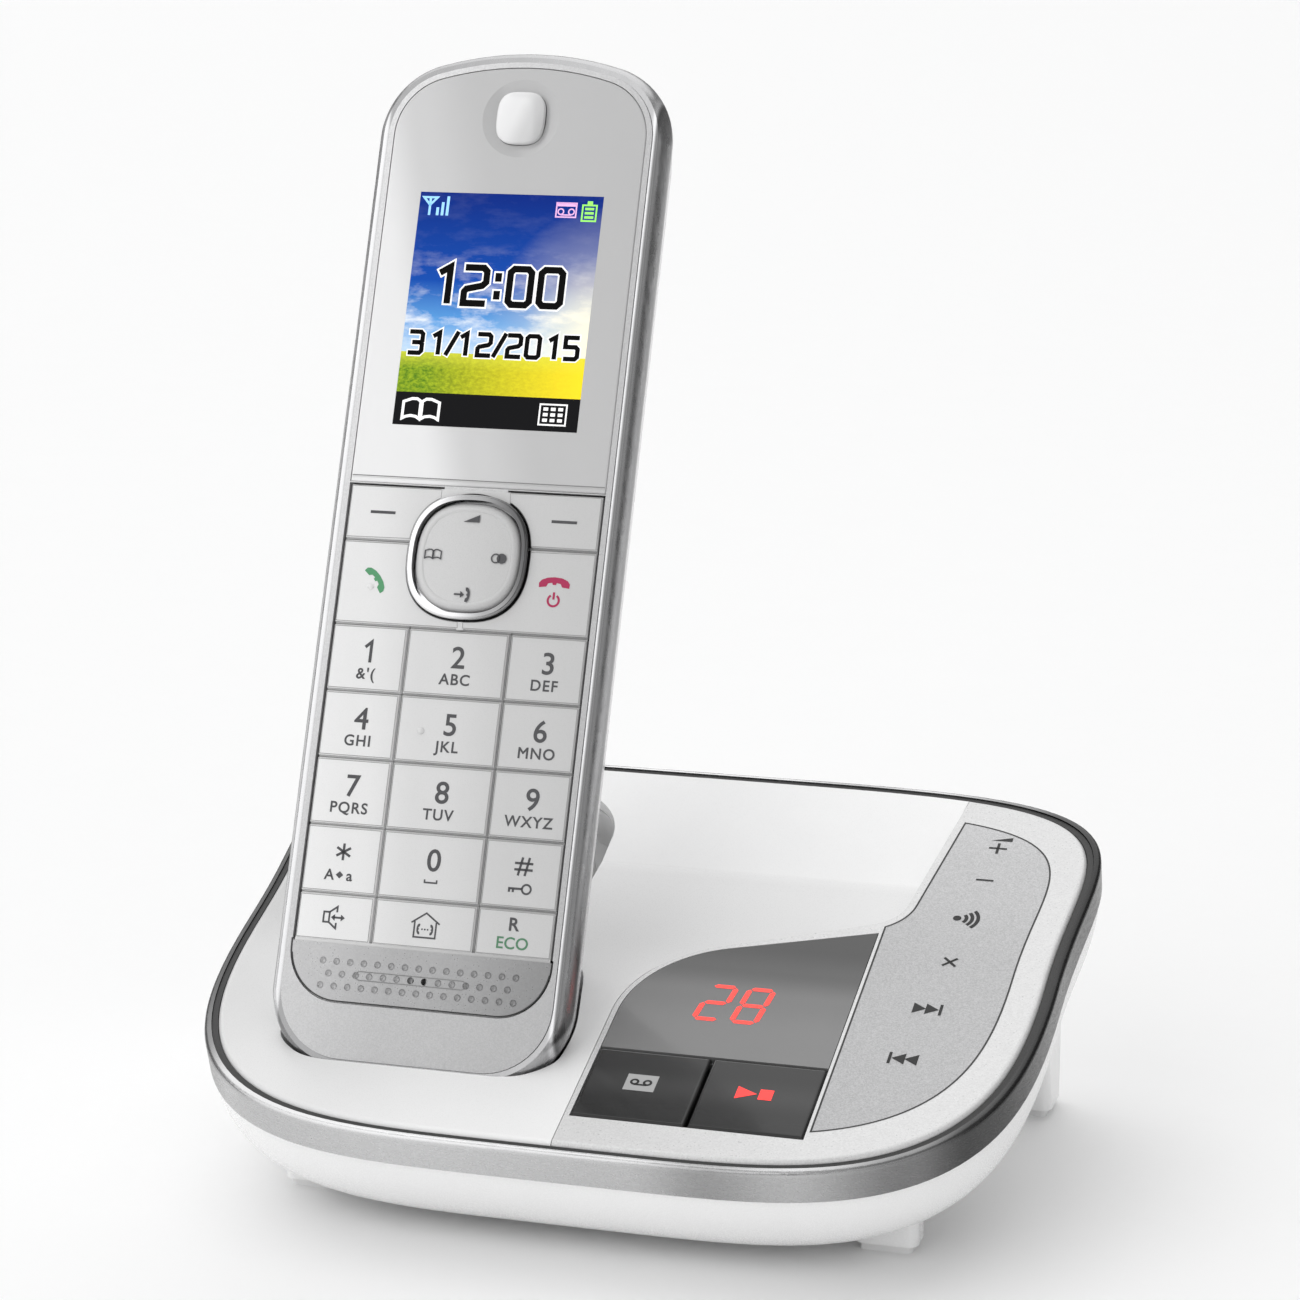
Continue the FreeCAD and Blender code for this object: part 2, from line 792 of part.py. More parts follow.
def lens_wire(grow, front, level):
    """The display lens's outline: upright left side, a round shoulder and a sloping top."""
    slope = math.radians(lens_slope)
    center = (lens_left + lens_radius, seam_arc_y)
    radius = lens_radius + grow
    left, right = lens_left - grow, lens_right + grow
    shoulder = on_circle(center, radius, 90.0 + lens_slope, level)
    middle = on_circle(center, radius, 135.0 + lens_slope / 2.0, level)
    top_right = V(right, shoulder.y + (right - shoulder.x) * math.tan(slope), level)
    edges = [
        line(V(left, front, level), V(left, seam_arc_y, level)),
        arc(V(left, seam_arc_y, level), middle, shoulder),
        line(shoulder, top_right),
        line(top_right, V(right, front, level)),
        line(V(right, front, level), V(left, front, level)),
    ]
    return Part.Wire(edges)


def top_plate():
    """The whole top plate before it is split into cover and panel."""
    plate = deck_prism(plate_inset, -plate_thickness, 0.0)
    rim = [e for e in plate.Edges if abs(e.CenterOfMass.z) < 0.01]
    return plate.makeFillet(plate_edge_round, rim)


def dish_cutter():
    """What is removed to sink the cover's top toward its crease."""

    def profile(x, depth):
        front = V(x, dish_front, 0)
        crease = V(x, crease_y, -depth)
        back = V(x, deck_half_depth, 0)
        dip = V(x, (dish_front + crease_y) / 2.0, -0.3 * depth)
        rise = V(x, (crease_y + deck_half_depth) / 2.0, -0.38 * depth)
        up_back, up_front = back + V(0, 0, HEADROOM), front + V(0, 0, HEADROOM)
        edges = [arc(front, dip, crease), arc(crease, rise, back)]
        edges += [line(back, up_back), line(up_back, up_front), line(up_front, front)]
        return Part.Wire(edges)

    shallow = 0.02
    ramp_end = dish_left + dish_ramp
    ramp = Part.makeLoft([profile(dish_left, shallow), profile(ramp_end, crease_depth)], True, True)
    rest = Part.makeLoft([profile(ramp_end, crease_depth), profile(FAR, crease_depth)], True, True)
    return ramp.fuse(rest)


def top_cover(plate, void):
    cover = plate.cut(panel_side(-seam_gap / 2.0, -HEADROOM, HEADROOM))
    cover = cover.cut(dish_cutter())
    cover = cover.cut(void)
    cover = cover.cut(prism(scoop_wire(0.0, -HEADROOM), 2.0 * HEADROOM))
    return largest(cover)


def control_panel(plate):
    panel = plate.common(panel_side(seam_gap / 2.0, -HEADROOM, HEADROOM))
    key_opening = prism(lens_wire(window_gap, base_key_front - window_gap, -lens_thickness), HEADROOM)
    panel = panel.cut(key_opening)
    ledge_front = lens_front + lens_ledge
    deep = prism(lens_wire(-lens_ledge, ledge_front, -HEADROOM), 2.0 * HEADROOM)
    keys_left, keys_right = lens_left - window_gap, lens_right + window_gap
    key_hole = box(keys_left, keys_right, base_key_front - window_gap, lens_front, -HEADROOM, HEADROOM)
    panel = panel.cut(deep).cut(key_hole)
    panel = panel.cut(membrane_solid(part_gap, -membrane_thickness - part_gap, HEADROOM))
    for hole in plunger_holes():
        panel = panel.cut(hole)
    return largest(panel)


def membrane_solid(grow, low, high):
    solid = deck_prism(membrane_side_inset - grow, low, high, membrane_end_inset - grow)
    solid = solid.common(panel_side(membrane_seam_offset - grow, low, high))
    return solid.common(box(membrane_left - grow, FAR, -FAR, FAR, low, high))


def plunger_spots():
    return (("locator_plunger", locator_y), ("erase_plunger", erase_y),
            ("forward_plunger", forward_y), ("back_plunger", back_y))


def plunger_top():
    return -membrane_thickness - 2.0 * part_gap


def volume_rocker(grow=0.0, low=None, high=None):
    """The bar under the two volume marks, which tips about its middle."""
    top = plunger_top() - plunger_gap if high is None else high
    bottom = top - plunger_height + plunger_gap if low is None else low
    half = volume_rocker_length / 2.0 + grow
    wide = plunger_radius + grow
    y0, y1 = volume_rocker_y - half, volume_rocker_y + half
    return rounded_box(plunger_column - wide, plunger_column + wide, y0, y1, bottom, top, wide * 0.9)


def plunger(y, grow=0.0, low=None, high=None):
    top = plunger_top() if high is None else high
    bottom = top - plunger_height if low is None else low
    return Part.makeCylinder(plunger_radius + grow, top - bottom, V(plunger_column, y, bottom))


def plunger_holes():
    holes = [volume_rocker(plunger_gap, -HEADROOM, HEADROOM)]
    holes += [plunger(y, plunger_gap, -HEADROOM, HEADROOM) for name, y in plunger_spots()]
    return holes


def display_lens():
    front = lens_front + base_key_gap / 2.0
    return prism(lens_wire(0.0, front, -lens_thickness + part_gap), lens_thickness - part_gap)


def base_key(x0, x1):
    g = base_key_gap / 2.0
    cap = box(x0, x1, base_key_front, lens_front - g, -base_key_height, base_key_proud)
    top = [e for e in cap.Edges if abs(e.CenterOfMass.z - base_key_proud) < 0.01]
    return cap.makeFillet(0.5, top)


def trim_band():
    low, high = -band_drop - band_height, -band_drop
    ring = deck_prism(-band_gap - band_thickness, low, high)
    crest = [e for e in ring.Edges if abs(e.CenterOfMass.z - high) < 0.01]
    ring = ring.makeFillet(band_thickness * 0.75, crest)
    return ring.cut(deck_prism(-band_gap, low, high))


def rim_seal():
    low, high = -seal_depth - seal_height, -seal_depth
    ring = deck_prism(-band_gap + part_gap, low, high)
    return ring.cut(deck_prism(plate_inset - part_gap, low, high))


def belly_inset(share):
    """How far the belly has come in at this share of the tub's depth."""
    return tub_flare * (1.0 - (1.0 - share**tub_power) ** (1.0 / tub_power))


def belly(shrink, raise_floor, start):
    """The tub's curved body, made smaller by shrink, from the level start down."""
    top = -band_drop - band_height - part_gap
    outer = -band_gap - band_thickness + 0.4
    sections = [deck_outline(outer + shrink, start)]
    for share in (0.15, 0.35, 0.55, 0.75, 0.88, 0.96, 0.995, 1.0):
        level = top - (tub_depth - raise_floor) * share
        sections.append(deck_outline(outer + shrink + belly_inset(share), level))
    return Part.makeLoft(sections, True, False)


def rounded_rectangle(x0, x1, y0, y1, level, radius):
    """A closed wire with four round corners."""
    face = rounded_box(x0, x1, y0, y1, level, level + 1.0, radius)
    low = min(face.Faces, key=lambda f: f.CenterOfMass.z)
    return low.OuterWire


def tub_leg(center, size, spread, sign):
    """A leg from just above its rubber pad up into the tub, longer toward the front at its top."""
    x, y = sign * center[0], center[1]
    half_x, half_y = size[0] / 2.0, size[1] / 2.0
    top = deck_height + HEADROOM
    foot = rounded_rectangle(x - half_x, x + half_x, y - half_y, y + half_y, foot_pad_height, leg_round)
    root = rounded_rectangle(x - half_x, x + half_x, y - half_y - spread, y + half_y, top, leg_round)
    leg = Part.makeLoft([foot, root], True, True)
    below = deck_prism(-band_gap - band_thickness + 0.5, -FAR, -band_drop - band_height - 2.0)
    return leg.common(on_deck(below))


def feet():
    """Centre, size and spread of each kind of foot."""
    return ((front_foot_center, front_foot_size, 0.0), (rear_leg_center, rear_leg_size, leg_spread))


def lower_tub():
    top = -band_drop - band_height - part_gap
    seat = -plate_thickness - seat_gap
    body = belly(0.0, 0.0, top)
    collar = deck_prism(-band_gap + part_gap, top - 1.0, -seal_depth - seal_height - part_gap)
    body = body.fuse(collar)
    body = body.cut(deck_prism(plate_inset - 1.0, seat, HEADROOM))
    cavity = belly(tub_wall, tub_wall, top)
    upper = deck_prism(collar_wall, top - 1.0, HEADROOM)
    body = on_deck(body)
    for center, size, spread in feet():
        for sign in (-1, 1):
            body = body.fuse(tub_leg(center, size, spread, sign))
    body = body.cut(on_deck(cavity)).cut(on_deck(upper))
    body = body.cut(socket_openings())
    body = body.cut(speaker_grille())
    body = body.cut(Part.makeCompound(screw_recesses()))
    return largest(body)


def socket_openings():
    low, high = socket_level - 4.2 - socket_clearance, socket_level + 4.2 + socket_clearance
    holes = []
    for x, size in ((line_socket_x, line_socket_size), (dc_socket_x, dc_socket_size)):
        half = size[0] / 2.0 + socket_clearance
        holes.append(box(x - half, x + half, socket_face_y - 8.0, FAR, low, high))
    return on_deck(Part.makeCompound(holes))


def speaker_grille():
    slots = []
    for k in range(grille_slots):
        offset = (k - (grille_slots - 1) / 2.0) * grille_pitch
        half = math.sqrt(max(1.0, (speaker_radius - 2.0) ** 2 - offset**2)) - 1.0
        x, y = speaker_center[0] + offset, speaker_center[1]
        w = grille_slot_width / 2.0
        slots.append(rounded_box(x - w, x + w, y - half, y + half, -FAR, speaker_level, w * 0.9))
    return on_deck(Part.makeCompound(slots))


def screw_seat():
    """Level of the underside of the screw heads, sunk a little into the tub's floor."""
    return -band_drop - band_height - part_gap - tub_depth + screw_sink


def base_screws():
    """Screws driven up through the tub's floor."""
    screws = []
    for x, y in screw_spots:
        head = Part.makeCylinder(screw_head_radius, screw_head, V(x, y, screw_seat()))
        shank = Part.makeCylinder(screw_radius, screw_length, V(x, y, screw_seat()))
        screws.append(on_deck(head.fuse(shank)))
    return Part.makeCompound(screws)


def screw_recesses():
    """Stepped holes for the screws, open below."""
    holes = []
    for x, y in screw_spots:
        tall = screw_head + screw_gap + FAR
        wide = Part.makeCylinder(screw_head_radius + screw_gap, tall, V(x, y, screw_seat() - FAR))
        narrow = Part.makeCylinder(screw_radius + screw_gap, screw_length + screw_gap, V(x, y, screw_seat()))
        holes.append(on_deck(wide.fuse(narrow)))
    return holes


def rubber_feet():
    pads = []
    for center, size, spread in feet():
        half_x, half_y = size[0] / 2.0 - pad_margin, size[1] / 2.0 - pad_margin
        for sign in (-1, 1):
            x, y = sign * center[0], center[1]
            edges = (x - half_x, x + half_x, y - half_y, y + half_y)
            pad = rounded_box(*edges, 0.0, foot_pad_height, leg_round - pad_margin)
            pads.append(pad)
    return Part.makeCompound(pads)


def base_board():
    return box(board_left, board_right, board_front, board_back, board_level, board_level + board_thickness)


def digit_module():
    x, y = digits_center
    half_x, half_y = digits_size[0] / 2.0, digits_size[1] / 2.0
    top = -plate_thickness - seat_gap
    return box(x - half_x, x + half_x, y - half_y, y + half_y, top - digits_size[2], top)


def base_speaker():
    x, y = speaker_center
    frame = Part.makeCylinder(speaker_radius, speaker_height * 0.55, V(x, y, speaker_level))
    magnet = Part.makeCylinder(speaker_radius * 0.55, speaker_height, V(x, y, speaker_level))
    return frame.fuse(magnet)


def line_socket():
    half = line_socket_size[0] / 2.0
    low, high = socket_level - line_socket_size[1] / 2.0, socket_level + line_socket_size[1] / 2.0
    x = line_socket_x
    body = box(x - half, x + half, socket_face_y - socket_length, socket_face_y, low, high)
    plug_x, plug_h = line_plug_size[0] / 2.0, line_plug_size[1] / 2.0
    mouth = box(x - plug_x, x + plug_x, socket_face_y - socket_length + 1.5, socket_face_y + 1.0,
                socket_level - plug_h, socket_level + plug_h)
    return body.cut(mouth)


def dc_socket():
    half = dc_socket_size[0] / 2.0
    low, high = socket_level - dc_socket_size[1] / 2.0, socket_level + dc_socket_size[1] / 2.0
    x = dc_socket_x
    body = box(x - half, x + half, socket_face_y - socket_length, socket_face_y, low, high)
    deep = socket_length - 1.5
    start = V(x, socket_face_y - deep, socket_level)
    bore = Part.makeCylinder(dc_bore_radius, deep + 1.0, start, V(0, 1, 0))
    pin = Part.makeCylinder(dc_pin_radius, deep - 0.5, start, V(0, 1, 0))
    return body.cut(bore).fuse(pin)


# ---------------------------------------------------------------- build
def main():
    os.makedirs("parts", exist_ok=True)

    wall = back_wall()
    handset = {
        "handset_front_shell": front_shell(),
        "display_window": display_window(),
        "lcd_panel": lcd_panel(),
        "earpiece_cap": ear_cap(),
        "earpiece_receiver": Part.makeCylinder(
            receiver_radius, receiver_height, V(0, ear_v, -face_thickness - part_gap - receiver_height)
        ),
        "handset_side_rail": side_rail(),
        "handset_back_shell": back_shell(wall),
        "battery_cover": battery_cover(wall),
        "battery_cells": battery_cells(),
        "battery_springs": battery_springs(),
        "keypad_mat": keypad_mat(),
        "handset_board": handset_board(),
        "microphone_plate": microphone_plate(),
        "microphone": Part.makeCylinder(
            microphone_radius,
            microphone_height,
            V(0, dimple_v, -face_thickness - part_gap - microphone_height),
        ),
        "ringer_speaker": Part.makeCylinder(
            ringer_radius, ringer_height, V(0, ringer_v, -body_depth + shell_wall + 0.4)
        ),
        "handset_contacts": handset_contacts(wall),
        "nav_ring": nav_ring(),
        "nav_pad": nav_pad(),
    }
    for name, cell in key_cells().items():
        handset[name] = handset_key(cell)

    void = handset_to_deck(pocket_void())
    plate = top_plate()
    keys_left, keys_right = lens_left, lens_right
    g = base_key_gap / 2.0
    base = {
        "base_top_cover": top_cover(plate, void),
        "control_panel": control_panel(plate),
        "cradle_liner": cradle_liner(void),
        "display_lens": display_lens(),
        "control_membrane": membrane_solid(0.0, -membrane_thickness, 0.0),
        "answer_key": base_key(keys_left, base_key_split - g),
        "play_stop_key": base_key(base_key_split + g, keys_right),
        "volume_rocker": volume_rocker(),
        "trim_band": trim_band(),
        "rim_seal": rim_seal(),
        "base_board": base_board(),
        "digit_module": digit_module(),
        "base_speaker": base_speaker(),
        "line_socket": line_socket(),
        "dc_socket": dc_socket(),
    }
    for name, y in plunger_spots():
        base[name] = plunger(y)

    for name, shape in handset.items():
        save(name, on_handset(shape))
    for name, shape in base.items():
        save(name, on_deck(shape))
    save("charge_springs", on_handset(charge_springs(body_stack(BACK_DEPTHS, -contact_gap))))
    save("base_lower_tub", lower_tub())
    save("rubber_feet", rubber_feet())
    save("base_screws", base_screws())


main()
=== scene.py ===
import json
import math

import bpy
import numpy as np
from mathutils import Matrix


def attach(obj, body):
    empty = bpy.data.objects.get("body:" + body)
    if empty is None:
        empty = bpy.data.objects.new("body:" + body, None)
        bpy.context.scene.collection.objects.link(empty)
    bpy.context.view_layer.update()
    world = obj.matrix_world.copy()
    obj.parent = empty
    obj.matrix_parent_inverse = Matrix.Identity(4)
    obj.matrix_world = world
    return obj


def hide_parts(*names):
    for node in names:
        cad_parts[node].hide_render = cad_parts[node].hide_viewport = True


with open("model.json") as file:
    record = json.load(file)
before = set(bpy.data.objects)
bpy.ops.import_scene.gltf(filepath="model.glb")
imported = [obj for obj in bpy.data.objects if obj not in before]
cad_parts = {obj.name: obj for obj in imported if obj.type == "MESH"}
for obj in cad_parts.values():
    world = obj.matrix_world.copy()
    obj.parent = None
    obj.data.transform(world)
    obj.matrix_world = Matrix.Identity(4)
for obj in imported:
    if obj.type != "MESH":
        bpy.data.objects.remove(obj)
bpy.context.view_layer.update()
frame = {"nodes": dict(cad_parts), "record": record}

MM = 0.001
NODES = frame["nodes"]
BODIES = {node: body for body, members in frame["record"]["behaviour"]["bodies"].items() for node in members}


# ---------------- the two tilted frames
class Place:
    """A frame turned about the X axis: local millimetres to metres in the part's frame and back."""

    def __init__(self, turn, origin):
        angle = math.radians(turn)
        c, s = math.cos(angle), math.sin(angle)
        self.axes = np.array([[1.0, 0.0, 0.0], [0.0, c, s], [0.0, -s, c]])
        self.origin = np.array(origin, float)

    def lift(self, local):
        """Each local axis times its own coordinate, added to the origin."""
        return (np.asarray(local, float) @ self.axes + self.origin) * MM

    def lower(self, world):
        return (np.asarray(world, float) / MM - self.origin) @ self.axes.T

    def vertices(self, node):
        mesh = NODES[node].data
        flat = np.empty(len(mesh.vertices) * 3, np.float32)
        mesh.vertices.foreach_get("co", flat)
        return self.lower(flat.reshape(-1, 3).astype(float))

    def box(self, node):
        points = self.vertices(node)
        return points.min(0), points.max(0)

    def middle(self, node):
        low, high = self.box(node)
        return (low[:2] + high[:2]) / 2.0

    def triangles(self, node):
        mesh = NODES[node].data
        mesh.calc_loop_triangles()
        flat = np.empty(len(mesh.loop_triangles) * 3, np.int32)
        mesh.loop_triangles.foreach_get("vertices", flat)
        return flat.reshape(-1, 3)


HANDSET_X = -25.0  # of the handset's middle line
DECK = Place(18.4, (0.0, -1.2, 32.8))
HANDSET = Place(67.1, (HANDSET_X, 10.7, 123.0))
ACROSS = (1.0, 0.0, 0.0)
ALONG_DECK = (0.0, 0.949, 0.316)  # the deck's own front to back direction


# ---------------- shapes in a plane
def circle(center, radius, count=28, start=0.0, sweep=360.0):
    """Points at even angles round a centre."""
    turns = sweep / 360.0
    steps = np.arange(count + (0 if turns == 1.0 else 1)) / count
    angle = np.radians(start + sweep * steps)
    return np.column_stack((center[0] + radius * np.cos(angle), center[1] + radius * np.sin(angle)))


def polygon(points):
    points = np.asarray(points, float)
    return points, [tuple(range(len(points)))]


def rectangle(center, width, height, slant=0.0):
    x, y = center
    a, b, s = width / 2.0, height / 2.0, slant / 2.0
    return polygon([(x - a - s, y - b), (x + a - s, y - b), (x + a + s, y + b), (x - a + s, y + b)])


def stroke(points, width, closed=False):
    """A band of even width along a line.

    Each corner moves along the sum of its two normals, divided by one plus their dot product.
    """
    points = np.asarray(points, float)
    if closed:
        before, after = points - np.roll(points, 1, 0), np.roll(points, -1, 0) - points
    else:
        runs = np.diff(points, axis=0)
        before, after = np.vstack((runs[:1], runs)), np.vstack((runs, runs[-1:]))
    before = before / np.linalg.norm(before, axis=1)[:, None]
    after = after / np.linalg.norm(after, axis=1)[:, None]
    left_before = np.column_stack((-before[:, 1], before[:, 0]))
    left_after = np.column_stack((-after[:, 1], after[:, 0]))
    spread = np.maximum(1.0 + (left_before * left_after).sum(1), 0.35)
    side = (left_before + left_after) / spread[:, None] * width / 2.0
    count = len(points)
    i = np.arange(count if closed else count - 1)
    j = (i + 1) % count
    faces = np.column_stack((i, j, j + count, i + count))
    return np.vstack((points - side, points + side)), [tuple(f) for f in faces.tolist()]


def join(*shapes):
    """One shape from several, with the later ones' face numbers moved on."""
    points, faces, total = [], [], 0
    for shape_points, shape_faces in shapes:
        points.append(np.asarray(shape_points, float))
        faces += [tuple(int(k) + total for k in f) for f in shape_faces]
        total += len(shape_points)
    return np.vstack(points), faces


def moved(shape, dx=0.0, dy=0.0, turn=0.0, scale=1.0):
    """Turned and scaled about the origin, then shifted."""
    c, s = math.cos(math.radians(turn)), math.sin(math.radians(turn))
    points = np.asarray(shape[0], float) * scale
    return points @ np.array([[c, s], [-s, c]]) + (dx, dy), shape[1]


CAP_HEIGHT = 0.70  # of a capital letter, in the font's own units


def thickened(points, faces, grow):
    """A shape with a band round its outline.

    Each outline point goes out along the sum of its two edges' normals, over half that sum's square.
    """
    edges = {pair for face in faces for pair in zip(face, face[1:] + face[:1])}
    outline = np.array(sorted(pair for pair in edges if pair[::-1] not in edges))
    run = points[outline[:, 1]] - points[outline[:, 0]]
    run /= np.maximum(np.linalg.norm(run, axis=1), 1e-9)[:, None]
    outward = np.column_stack((run[:, 1], -run[:, 0]))
    total = np.zeros_like(points)
    np.add.at(total, outline[:, 0], outward)
    np.add.at(total, outline[:, 1], outward)
    outer = points + total * (grow / np.maximum((total * total).sum(1) / 2.0, 0.35))[:, None]
    count = len(points)
    band = np.column_stack((outline[:, 1], outline[:, 0], outline[:, 0] + count, outline[:, 1] + count))
    return np.vstack((points, outer)), faces + [tuple(f) for f in band.tolist()]


def lettering(text, height, center, weight=0.0, spacing=1.0, squeeze=1.0):
    """Letters with capitals of one height, centred on a point, with a band of one width round them."""
    curve = bpy.data.curves.new("lettering", "FONT")
    curve.body = text
    curve.space_character = spacing
    curve.resolution_u = 5
    carrier = bpy.data.objects.new("lettering", curve)
    mesh = bpy.data.meshes.new_from_object(carrier)
    points = np.empty(len(mesh.vertices) * 3, np.float32)
    mesh.vertices.foreach_get("co", points)
    points = points.reshape(-1, 3)[:, :2].astype(float)
    faces = [tuple(p.vertices) for p in mesh.polygons]
    bpy.data.objects.remove(carrier)
    bpy.data.curves.remove(curve)
    bpy.data.meshes.remove(mesh)
    low, high = points.min(0), points.max(0)
    scale = height / CAP_HEIGHT
    middle = ((low[0] + high[0]) / 2.0, CAP_HEIGHT / 2.0)
    points = (points - middle) * (scale * squeeze, scale) + center
    return thickened(points, faces, weight) if weight else (points, faces)


# ---------------- meshes
def piece(name, points, faces, body, materials, smooth=False, uv=None, face_material=None):
    """A mesh with its place in its points, in metres, riding on a body."""
    mesh = bpy.data.meshes.new(name)
    mesh.from_pydata(np.asarray(points, float).tolist(), [], [tuple(f) for f in faces])
    mesh.update()
    for material in materials:
        mesh.materials.append(material)
    if face_material is not None:
        mesh.polygons.foreach_set("material_index", np.asarray(face_material, np.int32))
    mesh.polygons.foreach_set("use_smooth", np.full(len(mesh.polygons), smooth))
    if uv is not None:
        layer = mesh.uv_layers.new(name="UVMap")
        corners = np.empty(len(mesh.loops), np.int32)
        mesh.loops.foreach_get("vertex_index", corners)
        layer.data.foreach_set("uv", np.asarray(uv, float)[corners].ravel())
    thing = bpy.data.objects.new(name, mesh)
    bpy.context.scene.collection.objects.link(thing)
    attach(thing, body)
    return thing


def print_on(name, node, place, level, shape, material, body=None):
    """Flat marks laid a hair above a surface, turned face up."""
    points, faces = shape
    local = np.column_stack((points, np.full(len(points), level)))
    return piece(name, place.lift(local), faces, body or BODIES[node], [material])


# ---------------- materials
def node_material(name):
    material = bpy.data.materials.new(name)
    material.use_nodes = True
    shader = material.node_tree.nodes["Principled BSDF"]
    return material, material.node_tree.nodes, material.node_tree.links, shader


def coordinates(nodes, links, scale=(1.0, 1.0, 1.0), source="Object", turn=0.0):
    place = nodes.new("ShaderNodeTexCoord")
    mapping = nodes.new("ShaderNodeMapping")
    mapping.inputs["Scale"].default_value = scale
    mapping.inputs["Rotation"].default_value = (0.0, 0.0, turn)
    links.new(place.outputs[source], mapping.inputs["Vector"])
    return mapping.outputs["Vector"]


def noise(nodes, links, vector, scale, detail=3.0, rough=0.55):
    texture = nodes.new("ShaderNodeTexNoise")
    texture.inputs["Scale"].default_value = scale
    texture.inputs["Detail"].default_value = detail
    texture.inputs["Roughness"].default_value = rough
    links.new(vector, texture.inputs["Vector"])
    return texture.outputs["Fac"]


def ranged(nodes, links, value, low, high, start=0.0, end=1.0):
    span = nodes.new("ShaderNodeMapRange")
    span.inputs["From Min"].default_value = start
    span.inputs["From Max"].default_value = end
    span.inputs["To Min"].default_value = low
    span.inputs["To Max"].default_value = high
    links.new(value, span.inputs["Value"])
    return span.outputs["Result"]


def mixed(nodes, links, factor, first, second, blend="MIX"):
    mix = nodes.new("ShaderNodeMix")
    mix.data_type = "RGBA"
    mix.blend_type = blend
    for socket, value in ((mix.inputs[0], factor), (mix.inputs[6], first), (mix.inputs[7], second)):
        if isinstance(value, (tuple, list, float, int)):
            socket.default_value = value if isinstance(value, (float, int)) else (*value, 1.0)
        else:
            links.new(value, socket)
    return mix.outputs[2]


def bumped(nodes, links, shader, height, strength, distance):
    bump = nodes.new("ShaderNodeBump")
    bump.inputs["Strength"].default_value = strength
    bump.inputs["Distance"].default_value = distance
    links.new(height, bump.inputs["Height"])
    links.new(bump.outputs["Normal"], shader.inputs["Normal"])


def ramp(nodes, links, value, stops, interpolation="LINEAR"):
    """A value looked up in (place, colour) stops; one number stands for a grey."""
    table = nodes.new("ShaderNodeValToRGB")
    table.color_ramp.interpolation = interpolation
    elements = table.color_ramp.elements
    while len(elements) < len(stops):
        elements.new(0.5)
    for element, (spot, color) in zip(elements, stops):
        element.position = spot
        element.color = (*(color if isinstance(color, tuple) else (color,) * 3), 1.0)
    links.new(value, table.inputs["Fac"])
    return table.outputs["Color"]


def faded(nodes, links, color, painted_light):
    """Colour times painted light and shade: a tone read along a direction.

    The dot product of place and direction goes through a ramp of (millimetres, tone) stops.
    """
    direction, stops = painted_light
    place = nodes.new("ShaderNodeTexCoord")
    along = nodes.new("ShaderNodeVectorMath")
    along.operation = "DOT_PRODUCT"
    along.inputs[1].default_value = direction
    links.new(place.outputs["Object"], along.inputs[0])
    first, last = stops[0][0], stops[-1][0]
    share = ranged(nodes, links, along.outputs["Value"], 0.0, 1.0, first * MM, last * MM)
    toned = ramp(
        nodes, links, share, [((spot - first) / (last - first), tone) for spot, tone in stops], "EASE"
    )
    return mixed(nodes, links, 1.0, color, toned, "MULTIPLY")


def colored(nodes, links, shader, factor, color, darker, lighter, *painted_lights):
    """A factor takes the colour from darker to lighter, each painted light and shade tones it, and the shader
    gets it.
    """
    dark, light = tuple(c * darker for c in color), tuple(min(1.0, c * lighter) for c in color)
    tone = mixed(nodes, links, factor, dark, light)
    for painted_light in painted_lights:
        if painted_light:
            tone = faded(nodes, links, tone, painted_light)
    links.new(tone, shader.inputs["Base Color"])


def moulded(
    name, color, roughness, grain=9000.0, bump=0.08, variation=0.03, coat=0.0, metallic=0.0, specular=0.5,
    painted_light=None, second=None
):
    """Moulded plastic: faint mottling in the colour, a fine grain in the gloss and the surface, and painted
    light and shade along up to two directions where given.
    """
    material, nodes, links, shader = node_material(name)
    vector = coordinates(nodes, links)
    cloud = noise(nodes, links, vector, 60.0, 4.0)
    fine = noise(nodes, links, vector, grain, 2.0)
    colored(nodes, links, shader, cloud, color, 1.0 - variation, 1.0 + variation, painted_light, second)
    links.new(
        ranged(nodes, links, fine, roughness * 0.8, roughness * 1.25, 0.3, 0.7), shader.inputs["Roughness"]
    )
    shader.inputs["Metallic"].default_value = metallic
    shader.inputs["Specular IOR Level"].default_value = specular
    if coat:
        shader.inputs["Coat Weight"].default_value = coat
        shader.inputs["Coat Roughness"].default_value = 0.06
    bumped(nodes, links, shader, fine, bump, 0.00002)
    return material


def flake_paint(name, color, roughness, flake, contrast, metallic, coat=0.0, painted_light=None):
    """Metallic paint: cells of flake turn and brighten one by one under an even tone, with painted light and
    shade along a direction where given.
    """
    material, nodes, links, shader = node_material(name)
    vector = coordinates(nodes, links)
    cells = nodes.new("ShaderNodeTexVoronoi")
    cells.inputs["Scale"].default_value = flake
    links.new(vector, cells.inputs["Vector"])
    separate = nodes.new("ShaderNodeSeparateColor")
    links.new(cells.outputs["Color"], separate.inputs["Color"])
    colored(nodes, links, shader, separate.outputs[0], color, 1.0 - contrast, 1.0 + contrast, painted_light)
    links.new(
        ranged(nodes, links, separate.outputs[1], roughness * 0.75, roughness * 1.3),
        shader.inputs["Roughness"]
    )
    shader.inputs["Metallic"].default_value = metallic
    if coat:
        shader.inputs["Coat Weight"].default_value = coat
        shader.inputs["Coat Roughness"].default_value = 0.1
    bumped(nodes, links, shader, cells.outputs["Distance"], 0.04, 0.00001)
    return material


